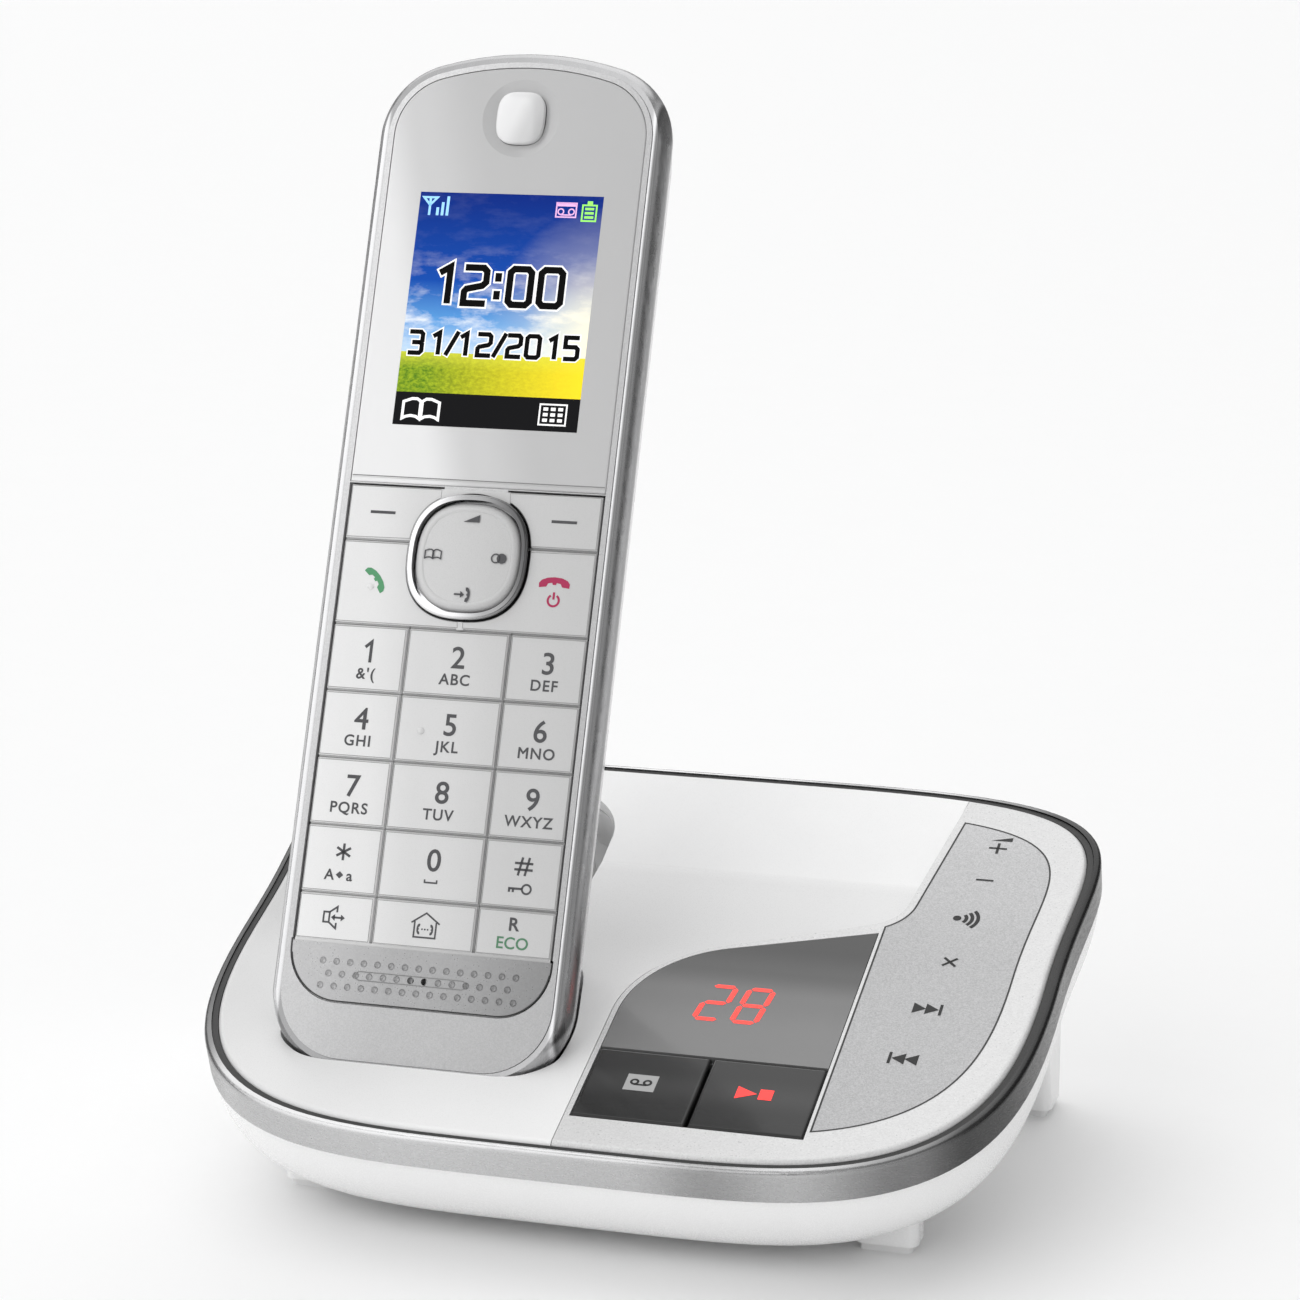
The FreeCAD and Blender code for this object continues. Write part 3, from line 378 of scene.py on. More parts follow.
def brushed(name, color, roughness, along, bump=0.1, painted_light=None):
    """Satin metal: noise drawn out along one axis makes faint brushing, with a painted reflection along a
    direction where given.
    """
    material, nodes, links, shader = node_material(name)
    vector = coordinates(nodes, links, along)
    streak = noise(nodes, links, vector, 1.0, 4.0, 0.7)
    colored(nodes, links, shader, streak, color, 0.93, 1.05, painted_light)
    links.new(
        ranged(nodes, links, streak, roughness * 0.75, roughness * 1.3, 0.3, 0.7), shader.inputs["Roughness"]
    )
    shader.inputs["Metallic"].default_value = 1.0
    bumped(nodes, links, shader, streak, bump, 0.00001)
    return material


def ink(name, color, roughness=0.5, specular=0.3):
    """Printed ink: slightly uneven in colour and gloss."""
    return moulded(name, color, roughness, grain=14000.0, bump=0.05, variation=0.08, specular=specular)


def glow(name, color, strength, roughness=0.35):
    """A lit mark: its light wavers slightly from place to place."""
    material, nodes, links, shader = node_material(name)
    vector = coordinates(nodes, links)
    waver = noise(nodes, links, vector, 1500.0, 2.0)
    shader.inputs["Roughness"].default_value = roughness
    light = mixed(nodes, links, waver, tuple(c * 0.85 for c in color), color)
    links.new(light, shader.inputs["Base Color"])
    links.new(light, shader.inputs["Emission Color"])
    shader.inputs["Emission Strength"].default_value = strength
    return material


def screen_picture(name):
    """A landscape: a blue sky that pales downwards, drifting cloud, a low sun and a green field."""
    material, nodes, links, shader = node_material(name)
    place = nodes.new("ShaderNodeTexCoord")
    split = nodes.new("ShaderNodeSeparateXYZ")
    links.new(place.outputs["UV"], split.inputs["Vector"])
    across, up = split.outputs["X"], split.outputs["Y"]

    def split_at(operation, limit):
        test = nodes.new("ShaderNodeMath")
        test.operation = operation
        test.inputs[1].default_value = limit
        links.new(up, test.inputs[0])
        return test.outputs[0]

    sky = ramp(
        nodes, links, up,
        (
            (0.30, (0.55, 0.70, 0.84)), (0.44, (0.10, 0.32, 0.68)), (0.62, (0.004, 0.065, 0.38)),
            (1.0, (0.0, 0.018, 0.20))
        )
    )
    drift = coordinates(nodes, links, (3.0, 9.0, 1.0), "UV", -0.12)
    wisps = noise(nodes, links, drift, 1.4, 7.0, 0.6)
    wisps = ranged(nodes, links, wisps, 0.0, 1.0, 0.47, 0.68)
    layer = ramp(nodes, links, up, ((0.30, 0.6), (0.45, 0.9), (0.62, 0.35), (0.78, 0.03)))
    cover = mixed(nodes, links, 1.0, wisps, layer, "MULTIPLY")
    cloudy = mixed(nodes, links, cover, sky, (0.86, 0.87, 0.88))
    sun = nodes.new("ShaderNodeVectorMath")
    sun.operation = "DISTANCE"
    sun.inputs[1].default_value = (1.02, 0.36, 0.0)
    links.new(coordinates(nodes, links, (1.0, 1.0, 0.0), "UV"), sun.inputs[0])
    halo = ramp(nodes, links, sun.outputs["Value"], ((0.0, 1.0), (0.20, 0.60), (0.38, 0.16), (0.60, 0.0)))
    lit = mixed(nodes, links, halo, cloudy, (1.0, 0.93, 0.68))
    blades = noise(nodes, links, coordinates(nodes, links, (36.0, 70.0, 1.0), "UV"), 1.0, 5.0, 0.7)
    left = mixed(
        nodes, links, ranged(nodes, links, blades, 0.0, 1.0, 0.35, 0.65), (0.06, 0.17, 0.01),
        (0.34, 0.46, 0.02)
    )
    tint = ramp(nodes, links, across, ((0.15, 0.0), (1.0, 1.0)))
    field = mixed(nodes, links, tint, left, (0.93, 0.72, 0.02))
    distance = ramp(nodes, links, up, ((0.24, 0.0), (0.31, 0.62)))
    field = mixed(nodes, links, distance, field, (0.72, 0.72, 0.06))
    scene = mixed(nodes, links, split_at("GREATER_THAN", 0.312), field, lit)
    whole = mixed(nodes, links, split_at("LESS_THAN", 0.14), scene, (0.004, 0.004, 0.005))
    links.new(whole, shader.inputs["Base Color"])
    links.new(whole, shader.inputs["Emission Color"])
    shader.inputs["Emission Strength"].default_value = 0.25
    shader.inputs["Roughness"].default_value = 0.3
    shader.inputs["Specular IOR Level"].default_value = 0.08
    return material


rail_left, rail_right = (corner[0] + HANDSET_X for corner in HANDSET.box("handset_side_rail"))
# painted reflection: dark and bright bands across the polished rail, placed in millimetres from its left and
# right edges
RAIL_REFLECTION_STOPS = (
    (rail_left, 0.34), (rail_left + 0.55, 0.22), (rail_left + 0.95, 0.95), (rail_left + 1.75, 0.85),
    (rail_left + 2.2, 0.40), (rail_right - 2.6, 0.55), (rail_right - 2.0, 0.95), (rail_right - 1.6, 0.20),
    (rail_right - 0.9, 0.38), (rail_right - 0.25, 0.62), (rail_right, 0.40),
)
# painted shade: the cover darkens toward its left side
COVER_SIDE_SHADE = (ACROSS, ((-62.0, 0.74), (-40.0, 0.84), (-15.0, 0.96), (20.0, 1.0)))
# painted shade in the dish before the crease, and painted light on the band behind it
COVER_DISH_SHADE_AND_BACK_LIGHT = (
    ALONG_DECK,
    ((-35.0, 0.98), (-2.0, 0.93), (12.0, 0.80), (29.0, 0.84), (31.3, 0.88), (32.2, 1.0), (55.0, 1.0))
)
COVER = moulded(
    "cover_white_gloss", (0.92, 0.92, 0.92), 0.30, coat=0.15, painted_light=COVER_SIDE_SHADE, second=COVER_DISH_SHADE_AND_BACK_LIGHT
)
PEARL = flake_paint("bezel_pearl", (0.66, 0.66, 0.66), 0.36, 5200.0, 0.07, 0.15, coat=0.3)
TUB = moulded("tub_white_gloss", (0.92, 0.92, 0.92), 0.26, coat=0.2)
# painted light: the membrane lightens toward the back of the deck
SPARKLE_BACK_LIGHT = (ALONG_DECK, ((-25.0, 0.84), (10.0, 0.84), (34.0, 0.92), (52.0, 1.0)))
SPARKLE = flake_paint("membrane_silver", (0.49, 0.49, 0.495), 0.42, 6500.0, 0.14, 0.5, painted_light=SPARKLE_BACK_LIGHT)
# painted reflection: the satin band dark at its corners and right side, bright across the front
BAND_PAINTED_REFLECTION = (
    ACROSS,
    (
        (-60.5, 0.12), (-56.0, 0.25), (-49.0, 0.70), (-20.0, 0.85), (10.0, 0.78), (22.0, 0.50), (33.0, 0.70),
        (48.0, 0.30), (55.0, 0.10), (62.0, 0.05)
    )
)
BAND = brushed("band_satin", (0.74, 0.74, 0.745), 0.26, (700.0, 700.0, 2500.0), 0.02, painted_light=BAND_PAINTED_REFLECTION)
# painted reflection: the chrome ring bright at its left, darkening toward its right
RING_PAINTED_REFLECTION = ((1.0, 0.0, 0.30), ((-10.0, 1.0), (-3.0, 0.85), (4.0, 0.35), (11.0, 0.12), (20.0, 0.06)))
CHROME = moulded(
    "ring_chrome", (0.90, 0.90, 0.91), 0.09, grain=3000.0, bump=0.02, variation=0.02, metallic=1.0,
    painted_light=RING_PAINTED_REFLECTION
)
# painted reflection across the rail, from the stops above
RAIL_PAINTED_REFLECTION = (ACROSS, RAIL_REFLECTION_STOPS)
RAIL = brushed("rail_polished", (0.80, 0.80, 0.81), 0.28, (900.0, 900.0, 60.0), 0.01, painted_light=RAIL_PAINTED_REFLECTION)
# painted shade: the satin chin darkens toward the right
CHIN_SIDE_SHADE = ((0.9, 0.0, -0.2), ((-68.0, 1.0), (-46.0, 0.84), (-30.0, 0.72), (-10.0, 0.66)))
SATIN = flake_paint("chin_satin_silver", (0.66, 0.66, 0.665), 0.40, 7000.0, 0.07, 0.6, painted_light=CHIN_SIDE_SHADE)
# painted shade: the microphone plate darkens toward the right
MIC_SIDE_SHADE = ((0.9, 0.0, -0.2), ((-68.0, 0.95), (-46.0, 0.80), (-30.0, 0.62), (-10.0, 0.40)))
MIC_SATIN = flake_paint("mic_plate_silver", (0.60, 0.60, 0.605), 0.36, 7000.0, 0.06, 0.6, painted_light=MIC_SIDE_SHADE)
# painted reflection: the gloss window plate bright at its left, darker past a slanted line toward its right
PLATE_PAINTED_REFLECTION = ((0.96, 0.10, 0.26), ((-13.0, 1.0), (-6.0, 0.97), (2.0, 0.70), (12.0, 0.58), (36.0, 0.55)))
# painted shade: the keys, their web and the pad darken toward the right
KEY_SIDE_SHADE = ((1.0, 0.0, 0.10), ((-42.0, 1.0), (-32.0, 0.92), (-22.0, 0.78), (-8.0, 0.66), (2.0, 0.62)))
WINDOW = moulded("window_plate_gloss", (0.86, 0.86, 0.865), 0.14, coat=0.6, variation=0.02, painted_light=PLATE_PAINTED_REFLECTION)
# painted shade: the earpiece dome darkens from its upper left toward its lower right
CAP_SIDE_SHADE = ((1.0, 0.0, -0.4), ((-90.0, 1.0), (-86.0, 0.94), (-83.0, 0.74), (-80.0, 0.60)))
CAP_WHITE = moulded(
    "earpiece_white_gloss", (0.88, 0.88, 0.885), 0.12, coat=0.6, variation=0.02, painted_light=CAP_SIDE_SHADE
)
KEYCAP = moulded("key_translucent_white", (0.88, 0.88, 0.88), 0.30, coat=0.2, variation=0.02, painted_light=KEY_SIDE_SHADE)
KEY_WEB = moulded("key_web_white", (0.74, 0.74, 0.74), 0.4, variation=0.03, painted_light=KEY_SIDE_SHADE)
PAD = moulded("pad_satin_white", (0.80, 0.80, 0.80), 0.28, coat=0.25, variation=0.02, painted_light=KEY_SIDE_SHADE)
MAT = moulded("mat_grey_rubber", (0.40, 0.40, 0.40), 0.6)
BACK = moulded("back_white", (0.76, 0.76, 0.77), 0.28, coat=0.15)
RUBBER = moulded("seal_black_rubber", (0.012, 0.012, 0.012), 0.5)
# painted reflection: the smoked lens light at its front, darkening toward its back
LENS_PAINTED_REFLECTION = (ALONG_DECK, ((-18.0, 1.0), (-8.0, 1.0), (0.0, 0.85), (6.0, 0.40), (12.0, 0.22)))
LENS = moulded(
    "lens_smoked", (0.20, 0.20, 0.20), 0.10, coat=0.35, variation=0.05, specular=0.25, painted_light=LENS_PAINTED_REFLECTION
)
# painted highlight: a bright band across the gloss black keys, darker before and after it
BLACK_KEY_PAINTED_HIGHLIGHT = (ALONG_DECK, ((-34.0, 0.30), (-26.0, 0.5), (-22.0, 1.0), (-18.0, 0.6)))
GLOSS_BLACK = moulded(
    "key_gloss_black", (0.035, 0.035, 0.035), 0.14, coat=0.3, variation=0.1, specular=0.2,
    painted_light=BLACK_KEY_PAINTED_HIGHLIGHT
)
DARK_PLASTIC = moulded("plunger_plastic", (0.30, 0.30, 0.31), 0.45)
BOARD = moulded("circuit_board", (0.02, 0.16, 0.06), 0.45, grain=4000.0, variation=0.2)
STEEL = brushed("spring_steel", (0.55, 0.55, 0.56), 0.3, (900.0, 900.0, 900.0))
GOLD = brushed("contact_gold", (0.83, 0.62, 0.27), 0.25, (900.0, 900.0, 900.0))
WRAP = moulded("cell_wrap", (0.05, 0.22, 0.10), 0.35, variation=0.1)
LINER = moulded("liner_pale_grey", (0.80, 0.80, 0.80), 0.4)

FINISH = {
    "base_top_cover": COVER, "control_panel": PEARL, "base_lower_tub": TUB, "control_membrane": SPARKLE,
    "trim_band": BAND, "rim_seal": RUBBER, "rubber_feet": LINER, "display_lens": LENS,
    "answer_key": GLOSS_BLACK, "play_stop_key": GLOSS_BLACK, "cradle_liner": LINER,
    "handset_front_shell": SATIN, "handset_side_rail": RAIL, "handset_back_shell": BACK,
    "battery_cover": BACK,
    "display_window": WINDOW, "earpiece_cap": WINDOW, "nav_ring": CHROME, "nav_pad": PAD,
    "microphone_plate": MIC_SATIN, "keypad_mat": MAT, "lcd_panel": GLOSS_BLACK,
    "base_board": BOARD, "handset_board": BOARD, "base_screws": STEEL, "battery_springs": STEEL,
    "charge_springs": GOLD, "handset_contacts": GOLD, "battery_cells": WRAP,
}
for name, thing in NODES.items():
    if name in FINISH:
        finish = FINISH[name]
    elif name.endswith("_key") or name.startswith(("key_", "soft_key")):
        finish = KEYCAP
    elif name.endswith("socket"):
        finish = RUBBER
    else:
        finish = DARK_PLASTIC
    thing.data.materials.clear()
    thing.data.materials.append(finish)

# ---------------- floor, light and camera
STUDIO = moulded("studio_floor", (0.93, 0.93, 0.93), 0.6, grain=500.0, bump=0.0, variation=0.005)
side = 12.0
floor_mesh = bpy.data.meshes.new("floor")
floor_mesh.from_pydata(
    [(-side, -side, 0.0), (side, -side, 0.0), (side, side, 0.0), (-side, side, 0.0)], [], [(0, 1, 2, 3)]
)
floor_mesh.materials.append(STUDIO)
floor = bpy.data.objects.new("floor", floor_mesh)
bpy.context.scene.collection.objects.link(floor)


def broad_sun(name, toward, strength, spread):
    """A far light of wide angle that shines from a direction."""
    data = bpy.data.lights.new(name, "SUN")
    data.energy = strength
    data.angle = math.radians(spread)
    lamp = bpy.data.objects.new(name, data)
    away = np.array(toward, float) / np.linalg.norm(toward)
    across = np.cross((0.0, 1.0, 0.1), away)
    across /= np.linalg.norm(across)
    lamp.matrix_world = Matrix(
        np.vstack((np.column_stack((across, np.cross(away, across), away, (0, 0, 1))), (0, 0, 0, 1))).tolist()
    )
    bpy.context.scene.collection.objects.link(lamp)


broad_sun("top_light", (-0.25, 0.55, 1.0), 1.3, 80.0)
broad_sun("front_light", (-0.75, -0.9, 0.55), 0.95, 70.0)
broad_sun("side_light", (0.9, -0.8, 0.05), 0.85, 80.0)

world = bpy.data.worlds.new("studio")
world.use_nodes = True
bpy.context.scene.world = world
sky_nodes, sky_links = world.node_tree.nodes, world.node_tree.links
sky_place = sky_nodes.new("ShaderNodeTexCoord")
sky_split = sky_nodes.new("ShaderNodeSeparateXYZ")
sky_links.new(sky_place.outputs["Generated"], sky_split.inputs["Vector"])
sky_height = ranged(sky_nodes, sky_links, sky_split.outputs["Z"], 0.30, 1.0, 0.0, 0.75)
sky_side = ranged(sky_nodes, sky_links, sky_split.outputs["X"], 1.0, 0.55, -0.6, 0.7)
sky = mixed(sky_nodes, sky_links, 1.0, sky_height, sky_side, "MULTIPLY")
sky_links.new(sky, sky_nodes["Background"].inputs["Color"])
sky_nodes["Background"].inputs["Strength"].default_value = 0.75
bpy.context.scene.view_settings.view_transform = "Standard"

camera_data = bpy.data.cameras.new("camera")
camera_data.lens = 95.55
camera_data.sensor_width = 36.0
camera_data.clip_start = 0.01
camera = bpy.data.objects.new("camera", camera_data)
camera.matrix_world = Matrix((
    (0.95972, -0.06323, 0.27375, 0.13559),
    (0.28096, 0.21599, -0.93510, -0.45969),
    (0.0, 0.97434, 0.22505, 0.18740),
    (0.0, 0.0, 0.0, 1.0),
))
bpy.context.scene.collection.objects.link(camera)
bpy.context.scene.camera = camera

# ---------------- the screen
window_top = HANDSET.box("display_window")[1][2]
SCREEN_HALF = (14.0, 17.5)
PRINT = 0.03  # how far marks stand off a surface
GLASS_GAP = 0.01


def sheet_grid(u_values, v_values, level):
    """A flat grid over two lists of coordinates, with its share of each side as UV."""
    u, v = np.meshgrid(u_values, v_values, indexing="ij")
    n, m = u.shape
    i, j = np.meshgrid(np.arange(n - 1), np.arange(m - 1), indexing="ij")
    a = (i * m + j).ravel()
    faces = np.column_stack((a, a + m, a + m + 1, a + 1))
    points = np.column_stack((u.ravel(), v.ravel(), np.full(u.size, level)))
    share = (points[:, :2] - points[:, :2].min(0)) / np.ptp(points[:, :2], axis=0)
    return points, faces.tolist(), share


points, faces, share = sheet_grid(
    *[np.linspace(-h, h, n) for h, n in zip(SCREEN_HALF, (15, 19))], window_top + GLASS_GAP
)
piece(
    "screen_picture", HANDSET.lift(points), faces, "handset",
    [screen_picture("screen_landscape")], uv=share
)

# ---------------- figures and signs on the screen
SCREEN_BLACK = ink("screen_black", (0.003, 0.003, 0.003), 0.5, 0.05)
SCREEN_WHITE = glow("screen_white", (0.95, 0.95, 0.95), 0.35)
SCREEN_BLUE = glow("screen_pale_blue", (0.30, 0.62, 0.95), 0.5)
SCREEN_PINK = glow("screen_pink", (0.75, 0.42, 0.72), 0.45)
SCREEN_GREEN = glow("screen_green", (0.30, 0.85, 0.12), 0.5)

CUT = 0.10  # corner cut of a figure of height 1
WIDE = 0.60  # its width
FIGURES = {
    "0": [([
        (CUT, 0), (WIDE - CUT, 0), (WIDE, CUT), (WIDE, 1 - CUT), (WIDE - CUT, 1), (CUT, 1), (0, 1 - CUT),
        (0, CUT)
    ], True)],
    "1": [([(0.14, 0.84), (0.40, 1.0), (0.40, 0.0)], False)],
    "2": [([
        (0, 1), (WIDE - CUT, 1), (WIDE, 1 - CUT), (WIDE, 0.60), (WIDE - CUT, 0.50), (0.06, 0.40), (0, 0.32),
        (0, 0), (WIDE, 0)
    ], False)],
    "3": [([
        (0, 1), (WIDE - CUT, 1), (WIDE, 1 - CUT), (WIDE, 0.58), (WIDE - 0.10, 0.5), (WIDE, 0.42),
        (WIDE, CUT), (WIDE - CUT, 0), (0, 0)
    ], False), ([(0.16, 0.5), (WIDE - 0.08, 0.5)], False)],
    "5": [([
        (WIDE, 1), (0, 1), (0, 0.56), (WIDE - CUT, 0.56), (WIDE, 0.56 - CUT), (WIDE, CUT), (WIDE - CUT, 0),
        (0, 0)
    ], False)],
    "/": [([(0.06, -0.02), (WIDE - 0.04, 1.04)], False)],
    ":": [([(0.30, 0.16), (0.30, 0.34)], False), ([(0.30, 0.66), (0.30, 0.84)], False)],
}


def figures(text, places, base, height, width):
    """Angular figures: each is one or two bent lines of even width, scaled to a height."""
    shapes = []
    for sign, across in zip(text, places):
        for line, closed in FIGURES[sign]:
            points = (np.array(line) - (WIDE / 2.0, 0.0)) * height + (across, base)
            if not closed:
                ends = points[[0, -1]] - points[[1, -2]]
                ends /= np.linalg.norm(ends, axis=1)[:, None]
                points[[0, -1]] += ends * (width - height * 0.12) / 2.0
            shapes.append(stroke(points, width, closed))
    return join(*shapes)


CLOCK = ("12:00", (-8.5, -3.9, -0.5, 2.9, 7.6), 0.95, 5.35)
DATE = ("31/12/2015", (-11.9, -8.7, -6.4, -4.5, -1.45, 0.85, 3.1, 5.95, 8.95, 11.75), -6.75, 3.15)


def page(side):
    """One page of an open book: its top and foot sag toward the spine."""
    x = np.array([0.12, 0.7, 1.5, 2.2, 2.75])
    top = np.array([1.05, 1.42, 1.42, 1.15, 0.95])
    foot = np.array([-1.55, -1.2, -1.1, -1.25, -1.55])
    return stroke(
        np.vstack((np.column_stack((side * x, top)), np.column_stack((side * x[::-1], foot[::-1])))), 0.42,
        True
    )


def open_book():
    return join(page(1), page(-1))


def small_squares():
    cells = [rectangle((x, y), 0.72, 0.48) for x in (-1.12, 0.0, 1.12) for y in (-0.82, 0.0, 0.82)]
    return join(stroke([(-2.0, -1.5), (2.0, -1.5), (2.0, 1.5), (-2.0, 1.5)], 0.24, True), *cells)


def tape_sign(width):
    """Two reels joined along the foot."""
    return join(
        stroke(circle((-0.8, 0.0), 0.42), width, True), stroke(circle((0.8, 0.0), 0.42), width, True),
        stroke([(-0.8, -0.48), (0.8, -0.48)], width)
    )


def on_screen(name, shape, material, lift):
    return print_on(name, "display_window", HANDSET, window_top + lift, shape, material)


on_screen("screen_figure_outline", join(figures(*CLOCK, 1.5), figures(*DATE, 1.05)), SCREEN_WHITE, 0.02)
on_screen("screen_figures", join(figures(*CLOCK, 1.0), figures(*DATE, 0.68)), SCREEN_BLACK, 0.03)
antenna = join(
    stroke([(-1.05, 1.25), (1.05, 1.25), (0.0, 0.1)], 0.34, True),
    stroke([(0.0, 1.1), (0.0, -1.45)], 0.36),
)
bars = join(
    rectangle((1.25, -0.85), 0.42, 1.2), rectangle((2.0, -0.45), 0.42, 2.0), rectangle((2.75, 0.0), 0.42, 2.9)
)
on_screen("screen_antenna", moved(antenna, -12.35, 15.45), SCREEN_BLUE, 0.02)
on_screen("screen_signal_bars", moved(bars, -12.35, 15.45), SCREEN_BLUE, 0.02)
tape_box = join(
    stroke([(-1.5, -1.05), (1.5, -1.05), (1.5, 1.05), (-1.5, 1.05)], 0.22, True),
    rectangle((0.0, 0.82), 3.0, 0.55)
)
on_screen(
    "screen_tape_box", join(moved(tape_box, 8.55, 15.35), moved(tape_sign(0.2), 8.55, 15.1)), SCREEN_PINK,
    0.02
)
battery = join(
    stroke([(-1.05, -1.3), (1.05, -1.3), (1.05, 1.05), (-1.05, 1.05)], 0.24, True),
    rectangle((0.0, 1.42), 0.8, 0.5),
    *[rectangle((0.0, y), 1.35, 0.36) for y in (-0.75, -0.12, 0.51)],
)
on_screen("screen_battery", moved(battery, 12.05, 15.1), SCREEN_GREEN, 0.02)
on_screen("screen_book", moved(open_book(), -9.9, -15.0), SCREEN_WHITE, 0.02)
on_screen("screen_menu_squares", moved(small_squares(), 10.1, -15.05), SCREEN_WHITE, 0.02)

# ---------------- marks on the keys
LEGEND = ink("legend_grey", (0.085, 0.085, 0.09))
LEGEND_GREEN = ink("legend_green", (0.10, 0.33, 0.16))
LEGEND_RED = ink("legend_red", (0.42, 0.03, 0.10))
ECO_GREEN = ink("legend_pale_green", (0.10, 0.24, 0.14))


def receiver():
    """A handset seen from the side: an arched back and two turned-down ends."""
    arch = [
        (-2.3, -0.75), (-2.35, -0.1), (-1.95, 0.38), (-1.1, 0.72), (0.0, 0.84), (1.1, 0.72), (1.95, 0.38),
        (2.35, -0.1), (2.3, -0.75)
    ]
    under = [
        (1.2, -0.6), (0.95, -0.12), (0.35, 0.0), (0.25, -0.3), (-0.25, -0.3), (-0.35, 0.0), (-0.95, -0.12),
        (-1.2, -0.6)
    ]
    return polygon((arch + under)[::-1])


def arrow_head(tip, size, turn=0.0):
    shape = polygon([(-size, -size * 0.8), (0.0, 0.0), (-size, size * 0.8)])
    return moved(shape, tip[0], tip[1], turn)


def speaker_sign():
    cone = [stroke([(-0.6, side * 0.72), (0.5, side * 1.55), (0.5, side * 0.75)], 0.26) for side in (1, -1)]
    box_line = stroke([(-1.45, -0.72), (-0.6, -0.72), (-0.6, 0.72), (-1.45, 0.72)], 0.26, True)
    return join(
        box_line, *cone, stroke([(0.0, 0.0), (1.3, 0.0)], 0.28), arrow_head((1.75, 0.0), 0.6),
        arrow_head((-0.35, 0.0), 0.6, 180.0)
    )


def house_sign():
    roof = stroke([(-2.1, 0.3), (0.0, 1.75), (2.1, 0.3)], 0.24)
    walls = stroke([(-1.6, 0.5), (-1.6, -1.7), (1.6, -1.7), (1.6, 0.5)], 0.24)
    ears = [moved(receiver(), side * 0.98, -0.55, -side * 90.0, 0.32) for side in (1, -1)]
    dots = [polygon(circle((x, -0.55), 0.13, 10)) for x in (-0.42, 0.0, 0.42)]
    return join(roof, walls, *ears, *dots)


def key_sign():
    teeth = [stroke([(x, 0.0), (x, -0.55)], 0.34) for x in (-1.55, -0.95)]
    return join(stroke(circle((1.1, 0.0), 0.68), 0.3, True), stroke([(-1.72, 0.0), (0.5, 0.0)], 0.34), *teeth)


def power_sign():
    return join(
        stroke(circle((0.0, -0.1), 0.82, 24, 122.0, 296.0), 0.32), stroke([(0.0, 0.05), (0.0, 1.1)], 0.32)
    )


def asterisk():
    half = 1.2
    return join(
        *[
            stroke([(-half * c, -half * k), (half * c, half * k)], 0.36)
            for c, k in ((0.0, 1.0), (0.866, 0.5), (0.866, -0.5))
        ]
    )


def wedge():
    return polygon([(-1.2, -0.5), (1.2, -0.5), (1.2, 0.62)])


DIGIT_WEIGHT, LETTER_WEIGHT = 0.05, 0.04


def digit_and_letters(digit, letters):
    def shape(center):
        mark = lettering(digit, 3.1, center + (0.35, 0.95), DIGIT_WEIGHT)
        if digit == "1":
            mark = moved(
                stroke([(-0.75, 0.62), (0.15, 1.42), (0.15, -1.58)], 0.46), center[0] + 0.35, center[1] + 0.95
            )
        return join(mark, lettering(letters, 1.55, center + (0.1, -2.25), LETTER_WEIGHT, 1.14))
    return shape


def centred(sign, dx=0.0, dy=0.0):
    return lambda center: moved(sign, center[0] + dx, center[1] + dy)


def star_marks(center):
    arrows = polygon([(-0.62, -2.2), (-0.05, -2.72), (0.52, -2.2), (-0.05, -1.68)])
    small = join(
        lettering("A", 1.5, (-1.6, -2.2), LETTER_WEIGHT), lettering("a", 1.5, (1.45, -2.2), LETTER_WEIGHT),
        arrows
    )
    return join(moved(asterisk(), center[0] + 0.15, center[1] + 1.1), moved(small, *center))


def hash_marks(center):
    lines = [stroke([(x - 0.25, -1.3), (x + 0.25, 1.3)], 0.34) for x in (-0.5, 0.5)]
    lines += [stroke([(-1.35, y), (1.35, y)], 0.34) for y in (-0.45, 0.45)]
    return join(
        moved(join(*lines), center[0] + 0.2, center[1] + 1.15),
        moved(key_sign(), center[0] - 0.1, center[1] - 2.0, 0.0, 0.95)
    )


def zero_marks(center):
    space = stroke([(-0.9, 0.3), (-0.9, -0.12), (0.9, -0.12), (0.9, 0.3)], 0.24)
    return join(
        lettering("0", 3.1, center + (0.35, 1.0), DIGIT_WEIGHT),
        moved(space, center[0] + 0.2, center[1] - 2.1)
    )


LETTERS = {2: "ABC", 3: "DEF", 4: "GHI", 5: "JKL", 6: "MNO", 7: "PQRS", 8: "TUV", 9: "WXYZ"}
KEY_MARKS = {f"key_{n}": digit_and_letters(str(n), letters) for n, letters in LETTERS.items()}
KEY_MARKS["key_1"] = digit_and_letters("1", "&'(")
KEY_MARKS["key_star"] = star_marks
KEY_MARKS["key_0"] = zero_marks
KEY_MARKS["key_hash"] = hash_marks
KEY_MARKS["speaker_key"] = centred(speaker_sign(), -0.2)
KEY_MARKS["intercom_key"] = centred(house_sign(), 0.2)
KEY_MARKS["recall_key"] = lambda center: lettering("R", 1.8, center + (-0.2, 1.3), 0.06)
key_print = HANDSET.box("key_1")[1][2] + PRINT
for node, marks in KEY_MARKS.items():
    print_on(f"marks_{node}", node, HANDSET, key_print, marks(HANDSET.middle(node)), LEGEND)
eco = lettering("ECO", 1.65, HANDSET.middle("recall_key") + (-0.2, -1.35), 0.03, 1.02)
print_on("marks_recall_key_eco", "recall_key", HANDSET, key_print, eco, ECO_GREEN)

